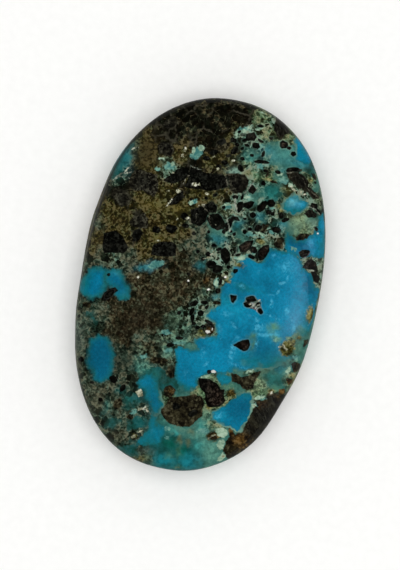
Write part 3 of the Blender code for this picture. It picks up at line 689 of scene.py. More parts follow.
# the same, of a paler mineral
threadLines = [
    ([(2.6, 12.6), (2.7, 11.9), (3.1, 11.0)], 0.22),
    ([(3.7, 13.7), (4.1, 14.4), (4.5, 15.4)], 0.12),
    ([(12.9, 13.65), (13.9, 13.45), (14.6, 12.9)], 0.12),
    ([(14.6, 5.05), (15.3, 5.0), (16.1, 5.0)], 0.12),
    ([(1.9, 9.7), (2.4, 9.0), (2.7, 8.1)], 0.15),
    ([(4.1, 6.1), (4.2, 5.4), (4.0, 5.0)], 0.12),
    ([(-15.0, 11.5), (-14.5, 12.2), (-13.9, 12.6), (-13.1, 12.7), (-12.5, 12.5)], 0.12),
    ([(-14.4, 12.4), (-13.9, 13.0), (-13.1, 13.2), (-12.5, 13.4)], 0.12),
    ([(-13.4, 13.2), (-13.0, 13.9), (-12.7, 14.0)], 0.14),
    ([(-13.0, 16.6), (-12.6, 16.9), (-12.2, 17.0)], 0.12),
    ([(8.7, -0.5), (8.2, -1.0), (7.8, -1.7)], 0.20),
    ([(8.8, -1.1), (8.4, -1.5), (8.3, -2.0)], 0.14),
    ([(-4.6, 16.1), (-4.0, 15.8), (-3.0, 15.7)], 0.12),
]

# Open pits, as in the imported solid: x, y, half length, half width, depth, turn
pits = {
    "crescent": (-12.0, -3.8, 0.95, 0.42, 0.6, 50),
    "crystalHollow": (2.45, -5.75, 0.95, 0.85, 0.7, 20),
    "brightChip": (4.15, -11.6, 0.62, 0.42, 0.45, 15),
    "ochreHollow": (13.5, -6.5, 1.05, 0.75, 0.6, -35),
    "paleFacet": (-5.1, -16.7, 0.6, 0.55, 0.3, 25),
    "twinChips": (-4.15, -18.7, 0.8, 0.4, 0.35, -30),
    "lowChips": (-4.6, -22.5, 0.85, 0.4, 0.35, 40),
    "ringHollow": (-3.3, -7.55, 0.4, 0.38, 0.3, 0),
    "rightGlint": (14.75, 10.25, 0.45, 0.4, 0.3, 0),
    "ochreNest": (5.9, -20.7, 0.85, 0.45, 0.4, 35),
}


# Working out, for every point of the mesh, how deep it lies in each kind of rock

farOut = -5.0  # mm; a point this far outside a patch needn't be measured closer
cornersReach = 1.5  # mm; outside this, a shape with corners counts as far out
brokenSeeds = (977, 3571, 101)  # turn a fragment's place and length into its own seed
pitFloor = {
    "seed": 40,
    "facets": 7,
    "spread": 0.8,
    "tilt": 0.45,
    "middle": 0.8,  # share of the pit's depth
    "limits": (0.3, 1.1),
    "wall": 0.35,  # share of the pit's radius that its steep side takes
    "crisp": 0.05,  # mm; faces sunk further than this are flat facets
}
edgeWaves = {
    "coarse": 1.7,  # mm, the size of the waves in the edges of the rock
    "fine": 0.55,
    "lineShift": 0.12,  # mm that the coarse waves move a line, a tint and a kind of ground
    "tintShift": 0.3,
    "kindShift": 0.7,
    "kindFade": 0.30,  # mm over which one kind of ground fades into the next
    "tintFade": 1.4,  # how soon a tint fades from its middle
    "inWashes": (1.5, 1.4),  # shares of the coarse and the fine waves that move a stain
    "grain": 0.7,  # mm, the grains that bite into the edges of the turquoise and of the ground
    "turquoiseBite": 0.35,
    "groundBite": 0.8,
    "calmLeft": (-9.0, -6.0),  # mm across, where the grains begin to bite into the turquoise
    "warmRight": (2.0, 6.5),  # mm across, where the black rock begins to be warm in colour
}
bevelShadePaint = {  # painted shade: a dark streak on the bevel at the upper left, where its side lies in shadow
    "middle": 138,  # degrees round from +X
    "spread": 48,
    "lower": (3.2, 4.4),  # mm of height
    "upper": (4.6, 5.35),
}


def turned(x, y, cx, cy, turn=0):
    c, s = math.cos(math.radians(turn)), math.sin(math.radians(turn))
    return (x - cx) * c + (y - cy) * s, (y - cy) * c - (x - cx) * s


def ovalDepth(x, y, cx, cy, length, width, turn=0):
    u, v = turned(x, y, cx, cy, turn)
    return (1 - np.hypot(2 * u / length, 2 * v / width)) * min(length, width) / 2


def cornersDepth(x, y, corners):
    # distance inside (plus) or outside (minus) a shape given by its corners
    depth = np.full(x.shape, farOut)
    xs, ys = zip(*corners)
    near = (x > min(xs) - cornersReach) & (x < max(xs) + cornersReach)
    near &= (y > min(ys) - cornersReach) & (y < max(ys) + cornersReach)
    px, py = x[near], y[near]
    nearest = np.full(px.shape, 1e9)
    inside = np.zeros(px.shape, bool)
    for (ax, ay), (bx, by) in zip(corners, corners[1:] + corners[:1]):
        ex, ey = bx - ax, by - ay
        t = np.clip(((px - ax) * ex + (py - ay) * ey) / (ex * ex + ey * ey), 0, 1)
        nearest = np.minimum(nearest, np.hypot(px - ax - t * ex, py - ay - t * ey))
        crosses = (ay > py) != (by > py)
        inside ^= crosses & (px < ax + (py - ay) * ex / (ey if ey else 1e-9))
    depth[near] = np.where(inside, nearest, -nearest)
    return depth


def brokenPiece(cx, cy, length, width, turn=0):
    # an angular fragment as large as the oval, always the same for the same place
    fromX, fromY, fromLength = brokenSeeds
    random = np.random.default_rng(int(abs(cx) * fromX + abs(cy) * fromY + length * fromLength))
    count = 5 if length < 0.7 else 6 + int(random.integers(2))
    angles = (np.arange(count) + random.uniform(-0.28, 0.28, count)) / count * 2 * math.pi
    reach = random.uniform(0.98, 1.28, count)
    c, s = math.cos(math.radians(turn)), math.sin(math.radians(turn))
    us, vs = reach * np.cos(angles) * length / 2, reach * np.sin(angles) * width / 2
    return [(cx + u * c - v * s, cy + u * s + v * c) for u, v in zip(us, vs)]


def depthIn(rock, points, down, coarse, fine):
    # down is how far a point lies under the face, which makes a patch end inside the stone
    warp = rock["warp"]
    x = points[:, 0] + coarse[:, 0] * warp[0] + fine[:, 0] * warp[1]
    y = points[:, 1] + coarse[:, 1] * warp[0] + fine[:, 1] * warp[1]
    depth = np.full(x.shape, farOut)
    for patch in rock.get("patches", []) + rock.get("corners", []):
        measured = ovalDepth(x, y, *patch) if isinstance(patch, tuple) else cornersDepth(x, y, patch)
        depth = np.maximum(depth, measured)
    for piece in rock.get("pieces", []):
        depth = np.maximum(depth, cornersDepth(x, y, brokenPiece(*piece)))
    return depth - down * rock["shrink"]


def tintOf(ovals, points, coarse):
    x = points[:, 0] + coarse[:, 0] * edgeWaves["tintShift"]
    y = points[:, 1] + coarse[:, 1] * edgeWaves["tintShift"]
    tint = np.zeros(x.shape)
    for cx, cy, length, width, strength, *turn in ovals:
        u, v = turned(x, y, cx, cy, *turn)
        away = (2 * u / length) ** 2 + (2 * v / width) ** 2
        tint = np.maximum(tint, strength * np.exp(-edgeWaves["tintFade"] * away))
    return tint


def washOf(washes, points, drift):
    # soft stains laid over each other: their mixed colour, and how much of the ground they cover
    colour = np.full((len(points), 3), 1e-6)
    total = np.full(len(points), 1e-6)
    clear = np.ones(len(points))
    for name, ovals in washes.items():
        paint = np.array(linear(rockFinish["washes"][name])[:3])
        for oval in ovals:
            own = tintOf([oval], points, drift)
            colour += own[:, None] * paint
            total += own
            clear *= 1 - np.minimum(own, 1)
    return colour / total[:, None], 1 - clear


def rockWeights(points, coarse):
    x = points[:, 0] + coarse[:, 0] * edgeWaves["kindShift"]
    y = points[:, 1] + coarse[:, 1] * edgeWaves["kindShift"]
    scores = []
    for owned in rockMap.values():
        best = np.full(x.shape, -60.0)
        for cx, cy, reach in owned:
            best = np.maximum(best, reach - np.hypot(x - cx, y - cy))
        scores.append(best)
    scores = np.array(scores) / edgeWaves["kindFade"]
    weights = np.exp(scores - scores.max(axis=0))
    return dict(zip(rockMap, weights / weights.sum(axis=0)))


def lineDepth(lines, points, coarse):
    x = points[:, 0] + coarse[:, 0] * edgeWaves["lineShift"]
    y = points[:, 1] + coarse[:, 1] * edgeWaves["lineShift"]
    depth = np.full(x.shape, farOut)
    for corners, width in lines:
        for (ax, ay), (bx, by) in zip(corners, corners[1:]):
            ex, ey = bx - ax, by - ay
            t = np.clip(((x - ax) * ex + (y - ay) * ey) / (ex * ex + ey * ey), 0, 1)
            depth = np.maximum(depth, width / 2 - np.hypot(x - ax - t * ex, y - ay - t * ey))
    return depth


def pitDepth(points):
    # how far each point sinks, in mm: steep sides and a floor of tilted facets
    sunk = np.zeros(len(points))
    for k, (cx, cy, halfLength, halfWidth, depth, turn) in enumerate(pits.values()):
        u, v = turned(points[:, 0], points[:, 1], cx, cy, turn)
        u, v = u / halfLength, v / halfWidth
        random = np.random.default_rng(pitFloor["seed"] + k)
        seeds = random.uniform(-pitFloor["spread"], pitFloor["spread"], (pitFloor["facets"], 2))
        tilts = random.uniform(-pitFloor["tilt"], pitFloor["tilt"], (pitFloor["facets"], 2))
        away = (u[:, None] - seeds[:, 0]) ** 2 + (v[:, None] - seeds[:, 1]) ** 2
        own = away.argmin(axis=1)
        facet = (u - seeds[own, 0]) * tilts[own, 0] + (v - seeds[own, 1]) * tilts[own, 1]
        wall = np.clip((1 - np.hypot(u, v)) / pitFloor["wall"], 0, 1)
        floor = np.clip(pitFloor["middle"] + facet, *pitFloor["limits"])
        sunk = np.maximum(sunk, depth * wall * floor)
    return sunk * (points[:, 2] > form["domeEdgeHeight"] - 0.4)


# The stone's material: turquoise and host rock, sawn, ground and then polished on the face with
# a fine oxide. It gives the eye a waxy gloss with deep blacks; the ground back stays dull and paler.

rockFinish = {
    "fragmentSize": 1.15,  # mm, the larger broken fragments
    "chipSize": 0.52,  # mm, the small ones between them
    "grainSize": 0.30,  # mm; real cement has crystals of about 0.1 mm, drawn coarser so that they show
    "blockSize": 2.4,  # mm, the blocks between the long cracks
    "crumple": (2.4, 0.55),  # waves per mm that bend the patterns, and mm that they push them
    "seamEdge": (-0.02, 0.05),  # mm over which a seam gives way to a fragment
    "streaks": (-54, (0.9, 0.19, 1.0)),  # in the sheared rock: degrees of turn, and mm along and across
    "toneSpread": 0.27,  # a smaller one gives the cement more contrast
    "relief": (0.3, 0.02),  # strength, and height in mm
    "sawMarks": (0.9, 1.5),  # a mark about every 0.35 mm, and how much it wavers
    # soft clouds of colour: size in mm, detail, roughness, distortion
    "clouds": {
        "speck": (0.33, 2.0, 0.55, 0.0),
        "clot": (0.95, 2.0, 0.6, 0.0),
        "mottle": (2.6, 3.0, 0.6, 0.0),
        "wisp": (1.1, 4.0, 0.66, 1.1),
    },
    # each ground: share of large and of small dark fragments, width of the cement seams in mm,
    # how pale the seams are, how gritty the cement is, and its colours from dark to pale
    "grounds": {
        "soot": (0.70, 0.50, 0.05, 0.10, 0.8, "060603 101009 191910 222217 303023 4e4e3a"),
        "khaki": (0.08, 0.36, 0.16, 0.30, 1.8, "131205 1e1b08 28230b 312d10 3b3717 575336"),
        "umber": (0.02, 0.07, 0.06, 0.05, 1.15, "0c0b04 1a190d 232115 2c2a1c 39372a 4f5340"),
        "ash": (0.10, 0.14, 0.08, 0.20, 0.95, "080c07 192118 253025 323b30 424b3f 5b6556"),
        "sage": (0.16, 0.20, 0.09, 0.20, 0.7, "060904 171f12 26332b 324137 445c4d 63806d"),
        "moss": (0.14, 0.20, 0.10, 0.15, 1.2, "131608 313b27 44553b 56674c 68775b 828d6f"),
        "seaGreen": (0.0, 0.02, 0.10, 0.15, 0.6, "193226 295249 316057 3a695e 4b7666 678b79"),
        "deepTeal": (0.0, 0.01, 0.10, 0.10, 0.35, "092820 0d3b33 114440 145050 265a56 426e63"),
        "web": (0.34, 0.34, 0.15, 0.60, 0.6, "070804 171c11 29362a 3c5244 54695a 768a7d"),
    },
    "washes": {
        "deep": "02566f", "navy": "02415a", "sea": "0e6462", "leaf": "45704f", "milk": "178aab",
        "lilac": "3f84a6", "azure": "0281a6", "sky": "0a86ac", "dusk": "5c6c62", "teal": "28747c",
        "lichen": "738a69", "straw": "57501f", "chalk": "8fae9c", "umber": "241e14", "tan": "453c26",
        "lagoon": "064c49", "jade": "1f6a62", "smoke": "3c5642", "mist": "4e8272", "froth": "58a0a8",
        "fern": "034a3b", "fernPale": "5c8a58", "tide": "0b6b76", "surf": "2f8680", "drab": "666a45",
        "verdigris": "477b68", "slate": "1f2b22", "fawn": "4c4a3a", "dew": "68887a", "earth": "2e2815",
        "cyan": "0d86a0",
    },
    "toneStops": (0.05, 0.20, 0.40, 0.60, 0.80, 0.97),
    "paints": {
        "olive": "27250a 3d3c13 575526 706e40 8b885d",
        "brown": "080704 131109 201d11 2f2c1c 4d4a37",
        "coal": "060605 0f0f0b 191914 25251e 3e3e34",
        "rust": "140a03 271807 3e2a0b 533a11 6e5228",
        "mint": "215456 376b66 4c7c74 679485 90af99",
        "cream": "5c5d43 7b7c64 9b9c82 b3b49c cbcbba",
        "grey": "1b1a18 322f30 4b4749 68646a 8d8990",
        "thread": "50564a 656c60 7e8578 939a8b acb09d",
        "cement": "13120c 26251d 39372d 535144 727061",
        "chalk": "3c5648 6a8672 86a28a 9bb49c b6c8b4",
        "black": "030302 060705 0a0b08 10110d 1c1d18",
        "maroon": "050402 0c0906 140f0b 1f1813 3c3329",
    },
    "paintStops": (0.05, 0.30, 0.52, 0.74, 0.97),
    # depth in mm where each kind of piece starts and where it covers all, and how far the specks shift it
    "edges": {
        "turquoise": (-0.10, 0.10, 0.8),
        "olive": (-0.18, 0.30, 1.2),
        "brown": (-0.07, 0.07, 0.7),
        "mint": (-0.10, 0.10, 1.3),
        "chalk": (-0.08, 0.08, 0.9),
        "grey": (-0.08, 0.08, 0.6),
        "black": (-0.14, -0.04, 0.25),
        "cream": (-0.08, 0.05, 0.5),
        "cement": (-0.06, 0.06, 0.5),
        "thread": (-0.07, 0.05, 0.5),
        "glint": (-0.05, 0.04, 0.2),
    },
    "casts": ("ebfffa", "ffeadb"),  # of the cool fragments and of those that iron warms
    "crack": "38362b",
    "poolShade": "0b1a17",
    # colour of the painted shade on the bevel at the upper left
    "bevelShadeColour": "0a0a06",
    # near white: the crystals' pale colour with a painted highlight
    "glint": "e4e3db",
    "blue": "037595",
    "deepBlue": "025975",
    "paleBlue": "3f9dba",
    "edgeTeal": "125958",
    "edgeShade": "0a3b40",
    "rimChalk": "759c88",
    "dullGround": "9a9e94",
    "ior": 1.61,
    # the polished face, and the sides and back as the grinding left them: specular level, roughness
    "polished": (0.12, 0.13),
    "ground": (0.08, 0.55),
}
tintFields = ("wispTint", "rustTint", "coalTint", "warmTint", "rimTint", "haloTint", "softTint", "poolShare",
              "groundShare")
breakFields = ("largeShare", "smallShare", "seamWidth", "seamLight", "grit")


def stoneMaterial(surface):
    finish = rockFinish
    material = bpy.data.materials.new(surface + "TurquoiseInRock")
    material.use_nodes = True
    tree = material.node_tree
    shader = tree.nodes["Principled BSDF"]
    add = partial(addNode, tree)
    smooth, mixed = {"interpolation_type": "SMOOTHSTEP"}, {"data_type": "RGBA"}
    fields = {}
    for name in (*finish["edges"], *rockMap, *tintFields, *breakFields, "polish", "darkSide"):
        fields[name] = add("Attribute", attribute_name=name)["Fac"]
    washes = {name: add("Attribute", attribute_name=name + "Colour")["Vector"] for name in ("pool", "ground")}
    place = add("TexCoord")["Object"]
    inMm = add("VectorMath", {0: place, "Scale": 1 / mm}, operation="SCALE")[0]
    waves, push = finish["crumple"]
    drift = add("TexNoise", {"Vector": inMm, "Scale": waves, "Detail": 2.0})["Color"]
    drift = add("VectorMath", (drift, (0.5, 0.5, 0.5)), operation="SUBTRACT")[0]
    crumpled = add("VectorMath", (drift, (push, push, push), inMm), operation="MULTIPLY_ADD")[0]
    speck, clot, mottle, wisp = (
        add("TexNoise", {"Vector": vector, "Scale": 1 / size, "Detail": detail, "Roughness": rough,
                         "Distortion": bend})["Fac"]
        for vector, (size, detail, rough, bend) in zip((inMm, crumpled, inMm, crumpled),
                                                       finish["clouds"].values()))
    grain = add("TexVoronoi", {"Vector": crumpled, "Scale": 1 / finish["grainSize"]})["Color"]
    grain = add("SeparateColor", (grain,))[2]

    # broken rock: each cell is a dark fragment or not, with cement in the seams between the cells
    broken, seams, cellTone = 0.0, 1.0, 0.28
    for name, share in (("fragment", "largeShare"), ("chip", "smallShare")):
        size = finish[name + "Size"]
        cells = {"Vector": crumpled, "Scale": 1 / size}
        pick = add("SeparateColor", (add("TexVoronoi", cells)["Color"],))
        walls = add("TexVoronoi", cells, feature="DISTANCE_TO_EDGE")["Distance"]
        halfSeam = add("Math", (fields["seamWidth"], -0.5), operation="MULTIPLY")[0]
        fromWall = add("Math", (walls, size, halfSeam), operation="MULTIPLY_ADD")[0]
        inside = add("MapRange", (fromWall, *finish["seamEdge"]), **smooth)[0]
        chosen = add("Math", (pick[0], fields[share]), operation="LESS_THAN")[0]
        dark = add("Math", (chosen, inside), operation="MULTIPLY")[0]
        broken = add("Math", (broken, dark), operation="MAXIMUM")[0]
        seams = add("Math", (seams, inside), operation="MULTIPLY")[0]
        cellTone = add("Math", (pick[2], 0.22, cellTone), operation="MULTIPLY_ADD")[0]
    darkTone = add("Math", (pick[1], 0.22), operation="MULTIPLY")[0]

    # sheared rock: fine streaks that run down to the right
    turn, streakSize = finish["streaks"]
    along = {"Vector": crumpled, "Rotation": (0.0, 0.0, math.radians(turn)), "Scale": streakSize}
    along = add("Mapping", along, vector_type="TEXTURE")[0]
    streaks = add("TexNoise", {"Vector": along, "Scale": 1.0, "Detail": 3.0})["Fac"]

    # one tone for the ground, from 0, dark, to 1, pale
    grit = fields["grit"]
    grainShare = add("Math", (grit, 0.30), operation="MULTIPLY")[0]
    clotShare = add("Math", (grit, -0.35, 1.05), operation="MULTIPLY_ADD")[0]
    cementTone = cellTone
    for pattern, share in ((grain, grainShare), (speck, grit), (clot, clotShare), (mottle, 0.5)):
        centred = add("Math", (pattern, 0.5), operation="SUBTRACT")[0]
        cementTone = add("Math", (centred, share, cementTone), operation="MULTIPLY_ADD")[0]
    spread = finish["toneSpread"]
    cementTone = add("MapRange", (cementTone, 0.5 - spread, 0.5 + spread))[0]
    clotted = add("MapRange", (clot, 0.36, 0.56), **smooth)[0]
    paleSeam = add("Math", (fields["seamLight"], clotted), operation="MULTIPLY")[0]
    inSeam = add("Math", (1.0, seams), operation="SUBTRACT")[0]
    lit = add("Math", (inSeam, paleSeam, cementTone), operation="MULTIPLY_ADD")[0]
    groundTone = add("Mix", {0: broken, 2: lit, 3: darkTone}, data_type="FLOAT")[0]
    green = add("Math", (fields["seaGreen"], fields["deepTeal"]), operation="ADD")[0]
    calm = add("Math", (green, 0.5), operation="MULTIPLY")[0]
    groundTone = add("Mix", {0: calm, 2: groundTone, 3: 0.46}, data_type="FLOAT")[0]
    colour = (0.0, 0.0, 0.0)
    for name, (*_, colours) in finish["grounds"].items():
        own = add("ValToRGB", (groundTone,), stopsOf(finish["toneStops"], colours))[0]
        colour = add("VectorMath", (own, fields[name], colour), operation="MULTIPLY_ADD")[0]

    cracks = add("TexVoronoi", {"Vector": crumpled, "Scale": 1 / finish["blockSize"]},
                 feature="DISTANCE_TO_EDGE")["Distance"]
    iron = add("Math", (mottle, 1.6, pick[2]), operation="MULTIPLY_ADD")[0]
    ragged = add("Math", (speck, 0.6, -0.3), operation="MULTIPLY_ADD")[0]
    lifted = add("Math", (speck, 0.16, wisp), operation="MULTIPLY_ADD")[0]
    lifted = add("Math", (fields["wispTint"], 0.14, lifted), operation="MULTIPLY_ADD")[0]
    fromThread = add("Math", (wisp, 0.5), operation="SUBTRACT")[0]
    fromThread = add("Math", (fromThread,), operation="ABSOLUTE")[0]
    depth = add("Math", (ragged, 0.5, fields["turquoise"]), operation="MULTIPLY_ADD")[0]
    fadeEnd = add("Math", (fields["softTint"], 0.6, 0.55), operation="MULTIPLY_ADD")[0]
    # how strongly each effect shows: shares and smooth steps, multiplied. A step is a value, where it
    # starts and ends, and what it gives there
    shares = {
        "warm": ((iron, 0.9, 1.7),),
        "stained": ((groundTone, 0.1, 0.9, 0.6, 1.35),),
        "cracked": ((cracks, 0.015, 0.075, 0.8, 0.0), (mottle, 0.42, 0.56), fields["soot"]),
        "deep": ((mottle, 0.40, 0.66, 0.0, 0.75),),
        "wispy": ((lifted, 0.58, 0.80), (fields["wispTint"], 0.03, 0.8, 0.0, 0.75),
                  (grain, 0.0, 0.8, 0.55, 1.0)),
        "threads": ((fields["wispTint"], 0.15, 0.9), (fromThread, 0.004, 0.030, 0.5, 0.0),
                    (speck, 0.35, 0.6)),
        "mealy": ((speck, 0.30, 0.70, 0.88, 1.12), (grain, 0.0, 1.0, 0.94, 1.06)),
        "shaded": ((fields["softTint"], 0.95, 1.3),),
        "edge": ((depth, -0.1, fadeEnd, 0.9, 0.0),),
        "rim": ((depth, -0.26, -0.10), (depth, 0.02, 0.28, 1.0, 0.0), fields["rimTint"]),
        "beside": ((fields["turquoise"], -1.0, -0.15), fields["softTint"], 0.45),
        "sheared": ((streaks, 0.26, 0.86),),
        "centre": ((fields["black"], 0.10, 0.30), fields["warmTint"]),
        "halo": ((fields["black"], -0.34, -0.10, 0.0, 0.6), fields["haloTint"]),
        "dull": ((fields["polish"], 0.0, 1.0, 0.14, 0.0),),
        # painted shade on the bevel at the upper left
        "grimy": (fields["darkSide"], 0.85),
    }
    for name, factors in shares.items():
        made = [add("MapRange", f, **smooth)[0] if isinstance(f, tuple) else f for f in factors]
        shares[name] = made[0]
        for factor in made[1:]:
            shares[name] = add("Math", (shares[name], factor), operation="MULTIPLY")[0]

    # iron warms some of the fragments; the green grounds have none
    earthy = add("Math", (1.0, green), operation="SUBTRACT")[0]
    earthy = add("Math", (fields["khaki"], -0.35, earthy), operation="MULTIPLY_ADD")[0]
    cool, warm = map(linear, finish["casts"])
    cast = add("Mix", {0: shares["warm"], 6: cool, 7: warm}, **mixed)[2]
    warmed = add("VectorMath", (colour, cast), operation="MULTIPLY")[0]
    warmed = add("VectorMath", {0: warmed, "Scale": 1.06}, operation="SCALE")[0]
    stain = add("VectorMath", {0: washes["ground"], "Scale": shares["stained"]}, operation="SCALE")[0]

    # the turquoise: its blue with deep and pale clouds, and the teal that it fades to at its edge
    shades = {6: linear(finish["edgeTeal"]), 7: linear(finish["edgeShade"])}
    edge = add("Mix", {0: shares["shaded"], **shades}, **mixed)[2]
    blue, pale = linear(finish["blue"]), linear(finish["paleBlue"])
    for cover, paint in ((shares["deep"], linear(finish["deepBlue"])), (fields["poolShare"], washes["pool"]),
                         (shares["wispy"], pale), (shares["threads"], pale)):
        blue = add("Mix", {0: cover, 6: blue, 7: paint}, **mixed)[2]
    blue = add("VectorMath", {0: blue, "Scale": shares["mealy"]}, operation="SCALE")[0]
    blue = add("Mix", {0: shares["edge"], 6: blue, 7: edge}, **mixed)[2]

    # the other kinds of piece, each with its own ramp of colours
    calmer = add("Math", (cementTone, 0.85, 0.06), operation="MULTIPLY_ADD")[0]
    even = add("Math", (cementTone, 0.5, 0.26), operation="MULTIPLY_ADD")[0]
    sheared = {0: fields["warmTint"], 2: calmer, 3: shares["sheared"]}
    sheared = add("Mix", sheared, data_type="FLOAT")[0]
    tones = {"brown": calmer, "mint": even, "chalk": even, "coal": sheared}
    paints = {"turquoise": blue, "glint": linear(finish["glint"])}
    for name, colours in finish["paints"].items():
        tone = tones.get(name, cementTone)
        paints[name] = add("ValToRGB", (tone,), stopsOf(finish["paintStops"], colours))[0]
    for name, cover, paint in (("brown", fields["coalTint"], "coal"), ("brown", fields["rustTint"], "rust"),
                               ("olive", fields["rustTint"], "rust"), ("black", shares["centre"], "maroon")):
        paints[name] = add("Mix", {0: cover, 6: paints[name], 7: paints[paint]}, **mixed)[2]

    # they lie over the ground in turn, each with an edge that the specks make ragged
    layers = [(earthy, warmed), (fields["groundShare"], stain), (shares["cracked"], linear(finish["crack"])),
              (shares["beside"], linear(finish["poolShade"]))]
    chalky = linear(finish["rimChalk"])
    blur = add("Math", (fields["softTint"], 0.35), operation="MULTIPLY")[0]
    masks = {}
    for name, (low, high, wander) in finish["edges"].items():
        if name == "turquoise":  # blurred in places
            low = add("Math", (low, blur), operation="SUBTRACT")[0]
            high = add("Math", (high, blur), operation="ADD")[0]
        if name == "black":  # a thin pale halo in the cement round the hard pieces
            layers.append((shares["halo"], chalky))
        value = add("Math", (ragged, wander, fields[name]), operation="MULTIPLY_ADD")[0]
        masks[name] = add("MapRange", (value, low, high), **smooth)[0]
        layers.append((masks[name], paints[name]))
        if name == "turquoise":
            layers.append((shares["rim"], chalky))
    # a ground, unpolished surface scatters more light, so it looks paler; then the painted shade darkens the
    # bevel at the upper left
    layers += [(shares["dull"], linear(finish["dullGround"])), (shares["grimy"], linear(finish["bevelShadeColour"]))]
    for cover, paint in layers:
        colour = add("Mix", {0: cover, 6: colour, 7: paint}, **mixed)[2]

    # gloss, and the faint relief that the polish leaves between hard and soft grains
    specular, rough = finish[surface]
    for pattern, change in ((masks["turquoise"], -0.03), (masks["black"], -0.04), (speck, 0.10),
                            (mottle, 0.06)):
        rough = add("Math", (pattern, change, rough), operation="MULTIPLY_ADD")[0]
    height = add("Math", (broken, 0.6, speck), operation="MULTIPLY_ADD")[0]
    if surface == "ground":  # and the marks of the saw and the wheel
        scale, waver = finish["sawMarks"]
        marks = {"Vector": inMm, "Scale": scale, "Distortion": waver, "Detail": 2.0, "Detail Scale": 0.6}
        marks = add("TexWave", marks, bands_direction="X")["Fac"]
        height = add("Math", (marks, 0.5, height), operation="MULTIPLY_ADD")[0]
    strength, rise = finish["relief"]
    bump = add("Bump", {"Height": height, "Strength": strength, "Distance": rise * mm})["Normal"]
    for socket, value in (("Base Color", colour), ("Roughness", rough), ("Normal", bump)):
        tree.links.new(value, shader.inputs[socket])
    shader.inputs["IOR"].default_value = finish["ior"]
    shader.inputs["Specular IOR Level"].default_value = specular
    return material


